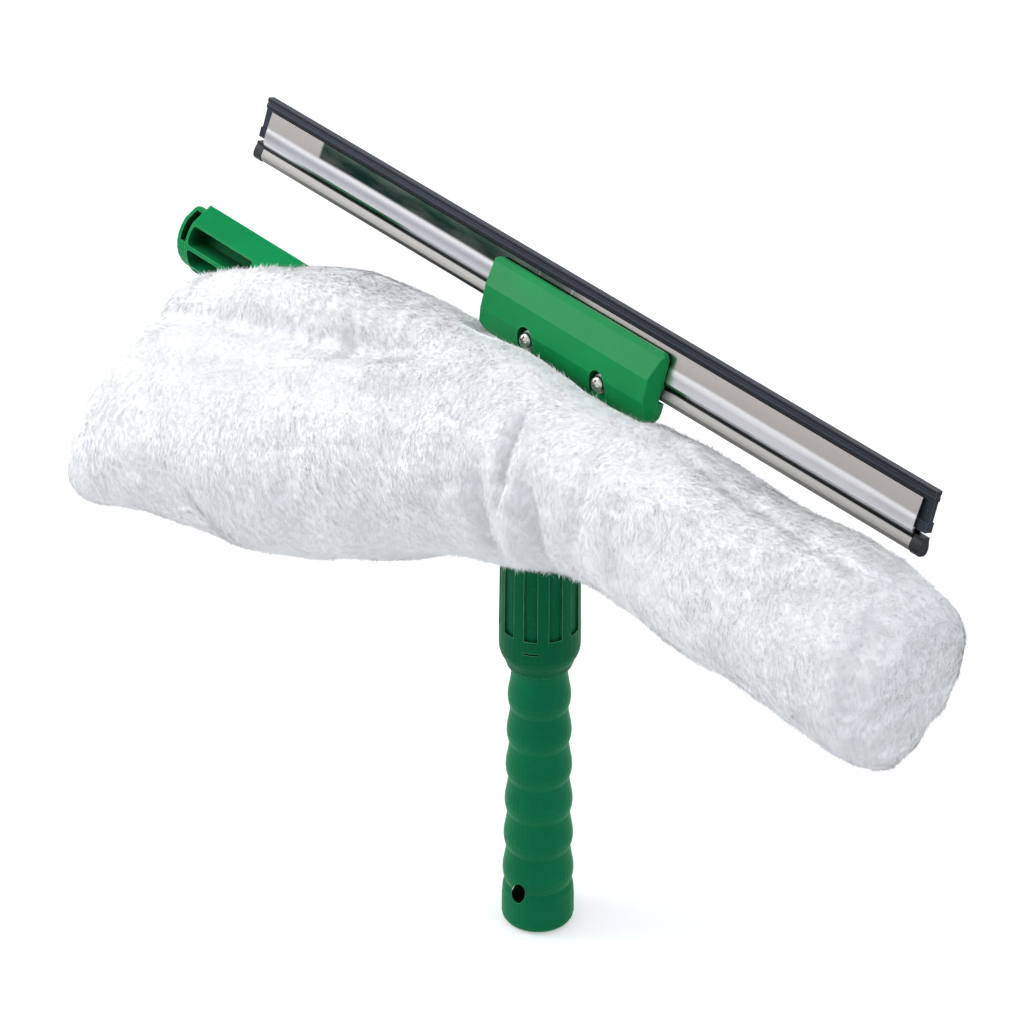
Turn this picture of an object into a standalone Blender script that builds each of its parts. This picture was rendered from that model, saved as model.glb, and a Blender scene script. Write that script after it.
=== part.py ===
"""A two-in-one window washer: a T-bar with a fleece sleeve, and a squeegee clamped above it.

The handle's axis is the Z axis, with the butt of the grip at Z = 0.  X runs along the crossbar,
and -Y is the front, where the fleece faces the glass.  All sizes are in metres.
"""

import math

import bmesh
import bpy
from mathutils import Matrix, Vector

# Clearances between pieces
SEAT_GAP = 0.0003
SCREW_GAP = 0.0003

# Grip: a hollow tube with finger rings, which grows towards the butt
GRIP_RING_COUNT = 7
GRIP_RING_PITCH = 0.0152
GRIP_FIRST_CREASE = 0.0171
GRIP_BUTT_RADIUS = 0.01335
GRIP_TAPER = 0.0203
GRIP_RING_DEPTH = 0.0011
GRIP_RING_SKEW = 1.6
GRIP_RING_POINTS = 6
BUTT_FILLET = 0.0032
SPIGOT_RADIUS = 0.0104
SPIGOT_LENGTH = 0.0380
POLE_SOCKET_RADIUS = 0.0090
POLE_SOCKET_END_RADIUS = 0.0078
POLE_SOCKET_DEPTH = 0.1000
POLE_SOCKET_CHAMFER = 0.0004
HANG_HOLE_HEIGHT = 0.0186
HANG_HOLE_AZIMUTH = math.radians(-40.3)
HANG_HOLE_OFFSET = 0.0072
HANG_HOLE_SLOPE = math.radians(33.0)
HANG_HOLE_WIDTH = 0.0050
HANG_HOLE_LENGTH = 0.0072

# Collar of the T-bar, which holds the top of the grip
COLLAR_BOTTOM = 0.1120
COLLAR_RIM_RADIUS = 0.0120
COLLAR_RADIUS = 0.0148
COLLAR_TAPER_HEIGHT = 0.0080
COLLAR_PANEL_COUNT = 10
COLLAR_PANEL_ANGLE = math.radians(19.5)
COLLAR_PANEL_DEPTH = 0.0010
COLLAR_PANEL_BOTTOM = 0.0176
COLLAR_PANEL_HEIGHT = 0.0314
COLLAR_SLIT_RISE = 0.0120
COLLAR_SLIT_HEIGHT = 0.0007
COLLAR_SLIT_ANGLE = math.radians(23.0)
HUB_RADIUS = 0.0142
HUB_RISE = 0.0008
HUB_EDGE = 0.0015

# Crossbar: a half-round bar of five facets, of which three are open pockets
CROSSBAR_LENGTH = 0.3830
CROSSBAR_RADIUS = 0.0151
CROSSBAR_HEIGHT = 0.2056
CROSSBAR_ROLL = math.radians(9.1)
FACET_COUNT = 5
FACET_STEPS = 3
BAY_COUNT = 4
BAY_LENGTH = 0.0352
BAY_WALL = 0.0040
RIB_THICKNESS = 0.0016
POCKET_DEPTH = 0.0080
POCKET_CORNER = 0.0012
BACK_WALL = 0.0030
BACK_RECESS_DEPTH = 0.0030
END_WALL = 0.0012
END_SLOT = 0.0040
END_PLATE = 0.0016
END_STEP = 0.0008
END_CORNER = 0.0042
END_SLOT_START = math.radians(12.0)
GUSSET_REACH = 0.0290
GUSSET_DROP = 0.0200
GUSSET_THICKNESS = 0.0030

# Blade frame: the lowest line of the channel over the crossbar's axis, and how far the blade leans back
BLADE_SETBACK = 0.0168
BLADE_RISE = 0.0299
BLADE_LEAN = math.radians(17.88)
BLADE_SHIFT = -0.0041

# Channel: a folded steel sheet, open along its top
CHANNEL_LENGTH = 0.3472
SHEET = 0.0008
SPINE_RADIUS = 0.0025
GROOVE_HEIGHT = 0.0056
GROOVE_HALF = 0.0013
CHEEK_LOW = 0.0080
CHEEK_HIGH = 0.0112
CHEEK_HALF = 0.0029
LIP_HEIGHT = 0.0196
LIP_HALF = 0.0020

# Rubber, held in the channel by its bead
RUBBER_OVERHANG = 0.0045
RUBBER_TIP = 0.0042
RUBBER_TIP_HALF = 0.0014
RUBBER_WEB_HALF = 0.00085
RUBBER_BEAD_HALF = 0.0017
RUBBER_BEAD_LOW = 0.0086
RUBBER_BEAD_HEIGHT = 0.0036
RUBBER_LINE_DEPTH = 0.00025

# End clips of the channel
CLIP_THICKNESS = 0.0042
CLIP_RISE = 0.0012
CLIP_PLUG_LENGTH = 0.0080
CLIP_PLUG_RADIUS = 0.0012

# Clamp: a rear jaw on the bracket and a faceted front jaw
JAW_LENGTH = 0.0916
JAW_END_TAPER = 0.0026
REAR_JAW_LENGTH = 0.0700
JAW_TOP_CORNER = 0.0028
JAW_FOOT_CORNER = 0.0060
JAW_TOP = 0.0179
JAW_BOTTOM = -0.0100
JAW_LIP_TOP = -0.0004
JAW_CREST_HEIGHT = 0.0078
JAW_CREST = 0.0092
JAW_SHOULDER_HEIGHT = 0.0160
JAW_SHOULDER = 0.0064
JAW_TOP_HALF = 0.0048
JAW_BELLY_HEIGHT = -0.0009
JAW_BELLY = 0.0088
JAW_CHIN_HEIGHT = -0.0068
JAW_CHIN = 0.0064
JAW_FOOT = 0.0044
JAW_RIDGE_REACH = 0.0009
JAW_EDGE_ROUNDING = 0.0006
REAR_JAW_BACK = 0.0082
REAR_JAW_BEND = 0.0120
REAR_JAW_BEND_DEPTH = 0.0074

# Clamp fasteners
CLAMP_SCREW_SPACING = 0.0386
CLAMP_SCREW_HEIGHT = -0.0039
SCREW_RADIUS = 0.0016
HEAD_RADIUS = 0.0028
HEAD_HEIGHT = 0.0024
CROSS_WIDTH = 0.0008
CROSS_REACH = 0.0017
CROSS_DEPTH = 0.0012
WASHER_RADIUS = 0.0035
WASHER_THICKNESS = 0.0008
NICHE_FLOOR = 0.0050
NICHE_RADIUS = 0.0042
NICHE_ARCH = 1.2
NUT_FLATS = 0.0070
NUT_THICKNESS = 0.0032
NUT_POCKET_DEPTH = 0.0020
SCREW_TAIL = 0.0010

# Bracket between the hub and the rear jaw
TONGUE_HALF_WIDTH = 0.0085
TONGUE_HALF_DEPTH = 0.0045
TONGUE_LENGTH = 0.0220
SHELF_THICKNESS = 0.0034
SHELF_FRONT = 0.0080
BRACKET_HALF_WIDTH = 0.0110
BACK_PLATE = 0.0042
BACK_PLATE_DROP = 0.0220
WING_HALF_WIDTH = 0.0340
WING_TIP_DEPTH = 0.0060
WING_THICKNESS = 0.0026
BRACKET_RELIEF = 0.0012
BRACKET_SCREW_DROP = 0.0145
BRACKET_SCREW_REACH = 0.0020

# Fleece sleeve: a tube on the right arm, and a slack half that hangs in front of the left arm
SLEEVE_RADIUS = 0.0340
SLEEVE_SAG = 0.0030
SLEEVE_RIGHT_END = 0.1985
SLEEVE_LEFT_END = 0.1825
SLEEVE_END_ROUNDING = 0.0090
SLEEVE_END_TAPER = 0.0090
SLEEVE_TAPER_LENGTH = 0.0360
SLEEVE_LEAN = math.radians(46.0)
SLEEVE_SQUARENESS = 2.3
SLACK_START = 0.0350
SLACK_FULL = 0.1600
SLACK_GROWTH = 0.75
SLACK_DEPTH = 0.0745
SLACK_SETTLE = 0.0060
SLIP_START = 0.1000
SLIP_DROP = 0.0400
SLIP_GROWTH = 1.3
SLIP_FORWARD = 0.0080
SLIP_THINNING = 0.0140
BUNCH_START = -0.0100
BUNCH_END = 0.0480
BUNCH_RING_SPACING = 0.0070
SLEEVE_RING_SPACING = 0.0135
SLEEVE_POINTS = 24

# Folds in the front of the sleeve. Each has a line of places along the bar and up the section,
# a depth, which is below zero for a crest, and a width.
UPPER_VALLEY = (((-0.186, -0.040), (-0.131, -0.026), (-0.062, -0.001), (-0.040, 0.010)), 0.0060, 0.0110)
VALLEY_HOLLOW = (((-0.085, -0.012), (-0.055, 0.000)), 0.0045, 0.0140)
BAR_CREST = (((-0.186, -0.058), (-0.131, -0.044), (-0.070, -0.022), (-0.020, 0.004)), -0.0030, 0.0100)
MIDDLE_CREASE = (((0.011, 0.012), (0.0245, -0.024)), 0.0100, 0.0065)
RIGHT_GATHER = (((0.033, -0.008), (0.038, -0.044)), 0.0075, 0.0070)
LEFT_GATHER = (((0.005, -0.012), (0.006, -0.054)), 0.0075, 0.0075)
POUCH_HOLLOW = (((-0.150, -0.058), (-0.100, -0.108)), 0.0030, 0.0130)
SLEEVE_FOLDS = (UPPER_VALLEY, VALLEY_HOLLOW, BAR_CREST, MIDDLE_CREASE, RIGHT_GATHER, LEFT_GATHER, POUCH_HOLLOW)

# Room round what the sleeve is pulled over
SLEEVE_BAR_GAP = 0.0006
SLEEVE_CLAMP_GAP = 0.0022
BACK_OPENING = 0.0020

# Facets of the round pieces
ROUND_FINE = 40
ROUND_SMALL = 20


def clear_scene():
    """Removes the objects that the scene starts with."""
    for old in list(bpy.data.objects):
        bpy.data.objects.remove(old, do_unlink=True)


def make_material(name, colour, roughness, metallic=0.0):
    """A plain Principled finish."""
    material = bpy.data.materials.new(name)
    material.use_nodes = True
    shader = material.node_tree.nodes["Principled BSDF"]
    shader.inputs["Base Color"].default_value = (*colour, 1.0)
    shader.inputs["Roughness"].default_value = roughness
    shader.inputs["Metallic"].default_value = metallic
    return material


def blade_frame():
    """Local X runs along the blade, Y up its face and Z out of its front."""
    up = Vector((0.0, math.sin(BLADE_LEAN), math.cos(BLADE_LEAN)))
    front = Vector((0.0, -math.cos(BLADE_LEAN), math.sin(BLADE_LEAN)))
    rows = Matrix((Vector((1.0, 0.0, 0.0)), up, front)).transposed()
    return Matrix.Translation((0.0, BLADE_SETBACK, CROSSBAR_HEIGHT + BLADE_RISE)) @ rows.to_4x4()


def crossbar_frame():
    """Local X runs along the crossbar, Y up its flat back and Z out of its rounded front."""
    up = Vector((0.0, -math.sin(CROSSBAR_ROLL), math.cos(CROSSBAR_ROLL)))
    front = Vector((0.0, -math.cos(CROSSBAR_ROLL), -math.sin(CROSSBAR_ROLL)))
    rows = Matrix((Vector((1.0, 0.0, 0.0)), up, front)).transposed()
    return Matrix.Translation((0.0, 0.0, CROSSBAR_HEIGHT)) @ rows.to_4x4()


def hub_top():
    """Height of the hub's flat top, just above the crossbar."""
    return CROSSBAR_HEIGHT + CROSSBAR_RADIUS + HUB_RISE


def finish_object(name, bm, material, frame=None, smooth_angle=None):
    """Makes an object of a bmesh, with its normals out and its place in a frame."""
    bmesh.ops.remove_doubles(bm, verts=bm.verts, dist=1e-7)
    bmesh.ops.recalc_face_normals(bm, faces=bm.faces)
    mesh = bpy.data.meshes.new(name)
    bm.to_mesh(mesh)
    bm.free()
    obj = bpy.data.objects.new(name, mesh)
    bpy.context.scene.collection.objects.link(obj)
    if material is not None:
        mesh.materials.append(material)
    if frame is not None:
        obj.matrix_world = frame
    if smooth_angle is not None:
        mesh.shade_smooth()
        mesh.set_sharp_from_angle(angle=smooth_angle)
    return obj


def prism(outline, low, high):
    """A solid of a closed outline in local Y and Z, extruded from low to high along local X."""
    bm = bmesh.new()
    corners = [bm.verts.new((low, y, z)) for y, z in outline]
    face = bm.faces.new(corners)
    grown = bmesh.ops.extrude_face_region(bm, geom=[face])
    moved = [item for item in grown["geom"] if isinstance(item, bmesh.types.BMVert)]
    bmesh.ops.translate(bm, verts=moved, vec=(high - low, 0.0, 0.0))
    return bm


def lathe(profile, segments):
    """Turns a closed profile of (radius, height) points round the local Z axis."""
    bm = bmesh.new()
    corners = [bm.verts.new((radius, 0.0, height)) for radius, height in profile]
    edges = [bm.edges.new((a, b)) for a, b in zip(corners, corners[1:] + corners[:1])]
    bmesh.ops.spin(bm, geom=corners + edges, axis=(0, 0, 1), cent=(0, 0, 0), dvec=(0, 0, 0),
                   angle=2.0 * math.pi, steps=segments, use_merge=True, use_duplicate=False)
    bmesh.ops.remove_doubles(bm, verts=bm.verts, dist=1e-6)
    bmesh.ops.dissolve_degenerate(bm, edges=bm.edges, dist=1e-6)
    loose = [edge for edge in bm.edges if not edge.link_faces]
    bmesh.ops.delete(bm, geom=loose, context="EDGES")
    return bm


def box(low, high):
    """A block between two corners."""
    bm = bmesh.new()
    size = [b - a for a, b in zip(low, high)]
    middle = [(a + b) / 2.0 for a, b in zip(low, high)]
    place = Matrix.Translation(middle) @ Matrix.Diagonal((*size, 1.0))
    bmesh.ops.create_cube(bm, size=1.0, matrix=place)
    return bm


def add_to(bm, other):
    """Adds another bmesh's shape to this one, as a body of its own."""
    spare = bpy.data.meshes.new("spare")
    other.to_mesh(spare)
    other.free()
    bm.from_mesh(spare)
    bpy.data.meshes.remove(spare)


def combine(obj, tool_bm, operation, frame=None):
    """Cuts a tool shape from an object, or joins it on, and keeps the result as its mesh."""
    tool = finish_object("tool", tool_bm, None, frame if frame is not None else obj.matrix_world)
    modifier = obj.modifiers.new("cut", "BOOLEAN")
    modifier.operation = operation
    modifier.solver = "EXACT"
    modifier.object = tool
    bpy.context.view_layer.update()
    depsgraph = bpy.context.evaluated_depsgraph_get()
    result = bpy.data.meshes.new_from_object(obj.evaluated_get(depsgraph))
    obj.modifiers.clear()
    old = obj.data
    obj.data = result
    result.name = obj.name
    bpy.data.meshes.remove(old)
    bpy.data.objects.remove(tool, do_unlink=True)


def sharpen(obj, angle=math.radians(32.0)):
    """Shades an object smooth, with edges above the angle kept sharp."""
    obj.data.shade_smooth()
    obj.data.set_sharp_from_angle(angle=angle)


def round_edges(obj, width, segments=2, angle=math.radians(25.0)):
    """Rounds every edge sharper than the angle, as a moulding's edges are."""
    modifier = obj.modifiers.new("rounding", "BEVEL")
    modifier.width = width
    modifier.segments = segments
    modifier.limit_method = "ANGLE"
    modifier.angle_limit = angle
    modifier.use_clamp_overlap = True
    bpy.context.view_layer.update()
    depsgraph = bpy.context.evaluated_depsgraph_get()
    result = bpy.data.meshes.new_from_object(obj.evaluated_get(depsgraph))
    obj.modifiers.clear()
    old = obj.data
    obj.data = result
    bpy.data.meshes.remove(old)


def arc(centre, radius, start, end, steps):
    """Points on a circle from one angle to another, both ends included."""
    turn = (end - start) / steps
    return [(centre[0] + radius * math.cos(start + turn * i),
             centre[1] + radius * math.sin(start + turn * i)) for i in range(steps + 1)]


# Grip

def grip_crest(height):
    """Radius of the grip over its rings at a height."""
    return GRIP_BUTT_RADIUS - GRIP_TAPER * max(0.0, height - GRIP_FIRST_CREASE / 2.0)


def grip_outline():
    """Outer points from the butt up to the top of the last ring: each ring swells most near its foot."""
    butt_crest = grip_crest(0.0)
    points = arc((butt_crest - BUTT_FILLET, BUTT_FILLET), BUTT_FILLET, -math.pi / 2.0, 0.0, 4)
    crease_radius = grip_crest(GRIP_FIRST_CREASE) - GRIP_RING_DEPTH
    points.append((butt_crest, (BUTT_FILLET + GRIP_FIRST_CREASE) / 2.0))
    points.append(((butt_crest + crease_radius) / 2.0 + GRIP_RING_DEPTH / 4.0,
                   GRIP_FIRST_CREASE - (GRIP_FIRST_CREASE - BUTT_FILLET) / 6.0))
    for ring in range(GRIP_RING_COUNT - 1):
        low = GRIP_FIRST_CREASE + GRIP_RING_PITCH * ring
        for step in range(GRIP_RING_POINTS):
            share = step / GRIP_RING_POINTS
            swell = math.sin(math.pi * (1.0 - share) ** GRIP_RING_SKEW)
            height = low + GRIP_RING_PITCH * share
            points.append((grip_crest(height) - GRIP_RING_DEPTH * (1.0 - swell), height))
    low = GRIP_FIRST_CREASE + GRIP_RING_PITCH * (GRIP_RING_COUNT - 1)
    points.append((grip_crest(low) - GRIP_RING_DEPTH, low))
    return points


def spigot_top():
    """Height of the top of the grip, inside the collar."""
    return COLLAR_BOTTOM + SPIGOT_LENGTH


def build_grip(material):
    """Hollow ringed grip with a pole socket in its butt and a spigot on top."""
    outline = grip_outline()
    chamfer = POLE_SOCKET_CHAMFER
    profile = list(outline)
    profile.append((SPIGOT_RADIUS, COLLAR_BOTTOM - SEAT_GAP))
    profile.append((SPIGOT_RADIUS, spigot_top() - chamfer))
    profile.append((SPIGOT_RADIUS - chamfer, spigot_top()))
    profile.append((0.0, spigot_top()))
    profile.append((0.0, POLE_SOCKET_DEPTH))
    profile.append((POLE_SOCKET_END_RADIUS, POLE_SOCKET_DEPTH))
    profile.append((POLE_SOCKET_RADIUS, chamfer))
    profile.append((POLE_SOCKET_RADIUS + chamfer, 0.0))
    grip = finish_object("handle_grip", lathe(profile, ROUND_FINE), material)
    combine(grip, hang_hole_tool(), "DIFFERENCE", hang_hole_frame())
    sharpen(grip)
    return grip


def hang_hole_frame():
    """Local Z runs along the slanted hang hole, from its high end at the front right."""
    turn = Matrix.Rotation(HANG_HOLE_AZIMUTH, 4, "Z")
    side = Matrix.Translation((grip_crest(HANG_HOLE_HEIGHT), -HANG_HOLE_OFFSET, HANG_HOLE_HEIGHT))
    slope = Matrix.Rotation(math.pi / 2.0 - HANG_HOLE_SLOPE, 4, "Y")
    return turn @ side @ slope


def hang_hole_tool():
    """Oval bore, long enough to pass through both walls of the grip."""
    bm = bmesh.new()
    reach = 4.0 * GRIP_BUTT_RADIUS
    bmesh.ops.create_cone(bm, cap_ends=True, segments=ROUND_SMALL, radius1=0.5, radius2=0.5, depth=1.0)
    bmesh.ops.scale(bm, verts=bm.verts, vec=(HANG_HOLE_LENGTH, HANG_HOLE_WIDTH, reach))
    return bm


# T-bar

def half_round(radius, back=0.0):
    """Section of the crossbar in local Y and Z: a flat back, two flat facets and a round front."""
    facet = math.pi / FACET_COUNT
    front = arc((0.0, 0.0), radius, facet, math.pi - facet, FACET_STEPS * (FACET_COUNT - 2))
    top = (radius, 0.0)
    bottom = (-radius, 0.0)
    points = [top] + front + [bottom]
    if back:
        points += [(-radius, -back), (radius, -back)]
    return points


def pocket_outline(low, high):
    """Outline of one open pocket between two ribs, whose sides are parallel to them."""
    half = RIB_THICKNESS / 2.0
    inner = CROSSBAR_RADIUS - POCKET_DEPTH
    outer = CROSSBAR_RADIUS * 1.25
    corners = []
    for radius, angle, side in ((inner, low, 1), (outer, low, 1), (outer, high, -1), (inner, high, -1)):
        turned = angle + side * math.asin(half / radius)
        corners.append((radius * math.cos(turned), radius * math.sin(turned)))
    return corners


def pocket_tool(row, low, high):
    """Cutter for one pocket, with the corners at its two ends rounded."""
    facet = math.pi / FACET_COUNT
    bm = prism(pocket_outline(facet * row, facet * (row + 1)), low, high)
    upright = [edge for edge in bm.edges if is_radial(edge)]
    bmesh.ops.bevel(bm, geom=upright, offset=POCKET_CORNER, offset_type="OFFSET", segments=3,
                    profile=0.5, affect="EDGES")
    return bm


def is_radial(edge):
    """True for a cutter edge that runs outwards at one of its ends."""
    a, b = (vert.co for vert in edge.verts)
    reach = abs(math.hypot(a.y, a.z) - math.hypot(b.y, b.z))
    return abs(a.x - b.x) < 1e-6 and reach > POCKET_DEPTH / 2.0


def arm_end():
    """Distance from the middle of the crossbar to the end of its full section."""
    return CROSSBAR_LENGTH / 2.0 - END_PLATE - END_SLOT


def bay_starts():
    """Inner ends of the bays along one arm, counted from the arm's tip."""
    tip = arm_end() - END_WALL
    return [tip - BAY_LENGTH * (bay + 1) - BAY_WALL * bay for bay in range(BAY_COUNT)]


def crossbar_tools():
    """All the cutters of the crossbar: front pockets, back recesses and the slots at the tips."""
    bm = bmesh.new()
    edge = CROSSBAR_RADIUS - BACK_WALL
    slot = pocket_outline(END_SLOT_START, 2.0 * math.pi / FACET_COUNT)
    for start in bay_starts():
        for low in (start, -start - BAY_LENGTH):
            for row in range(1, FACET_COUNT - 1):
                add_to(bm, pocket_tool(row, low, low + BAY_LENGTH))
            recess = [(-edge, -BACK_WALL), (edge, -BACK_WALL), (edge, BACK_RECESS_DEPTH),
                      (-edge, BACK_RECESS_DEPTH)]
            add_to(bm, prism(recess, low, low + BAY_LENGTH))
    for low in (arm_end(), -arm_end() - END_SLOT):
        add_to(bm, prism(slot, low, low + END_SLOT))
    return bm


def tip_bm(side):
    """Narrower section at one tip of the crossbar, with the two corners of its flat back rounded."""
    inner = side * (arm_end() - END_WALL)
    outer = side * CROSSBAR_LENGTH / 2.0
    radius = CROSSBAR_RADIUS - END_STEP
    bm = prism(half_round(radius), min(inner, outer), max(inner, outer))
    corners = [edge for edge in bm.edges if is_back_corner(edge, radius)]
    bmesh.ops.bevel(bm, geom=corners, offset=END_CORNER, offset_type="OFFSET", segments=4,
                    profile=0.5, affect="EDGES", clamp_overlap=True)
    return bm


def is_back_corner(edge, radius):
    """True for an edge along X at a corner of the flat back."""
    return all(abs(abs(vert.co.y) - radius) < 1e-6 for vert in edge.verts)


def collar_profile():
    """Closed profile of the collar and hub, hollow below for the spigot of the grip."""
    bore = SPIGOT_RADIUS + SEAT_GAP
    full = COLLAR_BOTTOM + COLLAR_TAPER_HEIGHT
    top = hub_top()
    socket = spigot_top() + SEAT_GAP
    slope = (COLLAR_RADIUS - COLLAR_RIM_RADIUS) / 4.0
    return [
        (bore, COLLAR_BOTTOM),
        (COLLAR_RIM_RADIUS - HUB_EDGE / 4.0, COLLAR_BOTTOM),
        (COLLAR_RIM_RADIUS, COLLAR_BOTTOM + HUB_EDGE / 3.0),
        (COLLAR_RIM_RADIUS + slope, COLLAR_BOTTOM + COLLAR_TAPER_HEIGHT * 0.35),
        (COLLAR_RADIUS - slope, COLLAR_BOTTOM + COLLAR_TAPER_HEIGHT * 0.70),
        (COLLAR_RADIUS - slope / 4.0, full - COLLAR_TAPER_HEIGHT * 0.08),
        (COLLAR_RADIUS, full + COLLAR_TAPER_HEIGHT * 0.20),
        (COLLAR_RADIUS, COLLAR_BOTTOM + COLLAR_PANEL_BOTTOM),
        (HUB_RADIUS, CROSSBAR_HEIGHT - CROSSBAR_RADIUS),
        (HUB_RADIUS, top - HUB_EDGE),
        (HUB_RADIUS - HUB_EDGE, top),
        (0.0, top),
        (0.0, socket),
        (bore, socket),
    ]


def ring_sector(inner, outer, middle, width, low, high, steps=3):
    """A block that follows the collar round: from one radius and height to another."""
    near = arc((0.0, 0.0), inner, middle - width / 2.0, middle + width / 2.0, steps)
    far = arc((0.0, 0.0), outer, middle + width / 2.0, middle - width / 2.0, steps)
    return plate(near + far, low, high)


def collar_tools():
    """Cutters of the collar: the ring of sunk panels and the short slit below one of them."""
    bm = bmesh.new()
    step = 2.0 * math.pi / COLLAR_PANEL_COUNT
    front = -math.pi / 2.0
    low = COLLAR_BOTTOM + COLLAR_PANEL_BOTTOM
    outer = COLLAR_RADIUS * 1.2
    floor = COLLAR_RADIUS - COLLAR_PANEL_DEPTH
    for panel in range(COLLAR_PANEL_COUNT):
        add_to(bm, ring_sector(floor, outer, front + step * panel, COLLAR_PANEL_ANGLE,
                               low, low + COLLAR_PANEL_HEIGHT))
    slit = COLLAR_BOTTOM + COLLAR_SLIT_RISE
    add_to(bm, ring_sector(floor, outer, front + step, COLLAR_SLIT_ANGLE,
                           slit, slit + COLLAR_SLIT_HEIGHT))
    return bm


def gusset_bm(side, grow=0.0):
    """Triangular web between the collar and the underside of one arm."""
    foot = HUB_RADIUS * 0.8
    top = CROSSBAR_HEIGHT - CROSSBAR_RADIUS * 0.6
    low = CROSSBAR_HEIGHT - CROSSBAR_RADIUS - grow
    reach = GUSSET_REACH + grow
    outline = [(foot, top), (reach, top), (reach, low), (foot, low - GUSSET_DROP - grow)]
    half = GUSSET_THICKNESS / 2.0 + grow
    setback = -CROSSBAR_RADIUS / 3.0
    bm = bmesh.new()
    corners = [bm.verts.new((side * x, setback - half, z)) for x, z in outline]
    face = bm.faces.new(corners)
    grown = bmesh.ops.extrude_face_region(bm, geom=[face])
    moved = [item for item in grown["geom"] if isinstance(item, bmesh.types.BMVert)]
    bmesh.ops.translate(bm, verts=moved, vec=(0.0, 2.0 * half, 0.0))
    return bm


def build_t_bar(material):
    """Crossbar, hub and ribbed collar, moulded in one piece."""
    half = arm_end()
    bar = finish_object("t_bar", prism(half_round(CROSSBAR_RADIUS), -half, half), material, crossbar_frame())
    for side in (-1, 1):
        combine(bar, tip_bm(side), "UNION")
    combine(bar, crossbar_tools(), "DIFFERENCE")
    place_mesh_in_world(bar)
    hub = lathe(collar_profile(), ROUND_FINE)
    combine(bar, hub, "UNION", Matrix.Identity(4))
    for side in (-1, 1):
        combine(bar, gusset_bm(side), "UNION", Matrix.Identity(4))
    combine(bar, collar_tools(), "DIFFERENCE", Matrix.Identity(4))
    combine(bar, tongue_socket_tool(), "DIFFERENCE", Matrix.Identity(4))
    combine(bar, bracket_screw_hole(0.0, HUB_RADIUS * 1.2), "DIFFERENCE", Matrix.Identity(4))
    sharpen(bar)
    return bar


def place_mesh_in_world(obj):
    """Moves an object's place and turn into its mesh."""
    obj.data.transform(obj.matrix_world)
    obj.matrix_world = Matrix.Identity(4)


def tongue_socket_tool():
    """Cutter of the hub's socket for the bracket's tongue."""
    wide = TONGUE_HALF_WIDTH + SEAT_GAP
    deep = TONGUE_HALF_DEPTH + SEAT_GAP
    top = hub_top()
    return box((-wide, -deep, top - TONGUE_LENGTH - SEAT_GAP), (wide, deep, top + HUB_EDGE))


def bracket_screw_hole(start, end):
    """Round hole along Y for the bracket's screw."""
    bm = bmesh.new()
    turn = Matrix.Rotation(math.pi / 2.0, 4, "X")
    place = Matrix.Translation((0.0, (start + end) / 2.0, hub_top() - BRACKET_SCREW_DROP)) @ turn
    bmesh.ops.create_cone(bm, cap_ends=True, segments=ROUND_SMALL, radius1=SCREW_RADIUS + SCREW_GAP,
                          radius2=SCREW_RADIUS + SCREW_GAP, depth=end - start, matrix=place)
    return bm


# Clamp and bracket

def jaw_inner(sign):
    """Inner side of a jaw in the blade frame, from its top down to the foot: a ridge reaches into the
    channel's groove, and a lip below closes under the spine."""
    wall = CHEEK_HALF + SEAT_GAP
    ridge = wall - JAW_RIDGE_REACH
    part = SEAT_GAP
    points = [
        (JAW_TOP, wall),
        (GROOVE_HEIGHT + 2.0 * JAW_RIDGE_REACH, wall),
        (GROOVE_HEIGHT + JAW_RIDGE_REACH / 2.0, ridge),
        (GROOVE_HEIGHT - JAW_RIDGE_REACH / 2.0, ridge),
        (GROOVE_HEIGHT - JAW_RIDGE_REACH * 1.5, wall),
        (JAW_LIP_TOP, wall),
        (JAW_LIP_TOP, part),
        (JAW_BOTTOM, part),
    ]
    return [(height, sign * depth) for height, depth in points]


def front_jaw_outline():
    """Section of the front jaw: four facets outside, and the inner side."""
    outside = [
        (JAW_BOTTOM, JAW_FOOT),
        (JAW_CHIN_HEIGHT, JAW_CHIN),
        (JAW_BELLY_HEIGHT, JAW_BELLY),
        (JAW_CREST_HEIGHT, JAW_CREST),
        (JAW_SHOULDER_HEIGHT, JAW_SHOULDER),
        (JAW_TOP, JAW_TOP_HALF),
    ]
    return jaw_inner(1) + outside


def jaw_corner_tool():
    """Block with the front jaw's outline seen from the front: small corners on top, larger ones at the foot."""
    half = JAW_LENGTH / 2.0
    outline = []
    corners = ((half, JAW_BOTTOM, JAW_FOOT_CORNER, -90.0), (half, JAW_TOP, JAW_TOP_CORNER, 0.0),
               (-half, JAW_TOP, JAW_TOP_CORNER, 90.0), (-half, JAW_BOTTOM, JAW_FOOT_CORNER, 180.0))
    for x, y, radius, turn in corners:
        middle = (x - math.copysign(radius, x), y + (radius if y < 0.0 else -radius))
        start = math.radians(turn)
        outline += arc(middle, radius, start, start + math.pi / 2.0, 4)
    return plate(outline, -JAW_CREST, JAW_CREST * 2.0)


def trim_ends(obj):
    """Slopes the two ends of the front jaw in towards its front."""
    half = JAW_LENGTH / 2.0
    foot = JAW_FOOT
    rise = JAW_CREST - foot
    bm = bmesh.new()
    bm.from_mesh(obj.data)
    for side in (-1.0, 1.0):
        normal = Vector((side * rise, 0.0, JAW_END_TAPER)).normalized()
        geometry = bm.verts[:] + bm.edges[:] + bm.faces[:]
        cut = bmesh.ops.bisect_plane(bm, geom=geometry, dist=1e-6, plane_co=(side * half, 0.0, foot),
                                     plane_no=normal, clear_outer=True)
        rim = [item for item in cut["geom_cut"] if isinstance(item, bmesh.types.BMEdge)]
        bmesh.ops.holes_fill(bm, edges=rim, sides=0)
    bmesh.ops.recalc_face_normals(bm, faces=bm.faces)
    bm.to_mesh(obj.data)
    bm.free()


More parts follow.
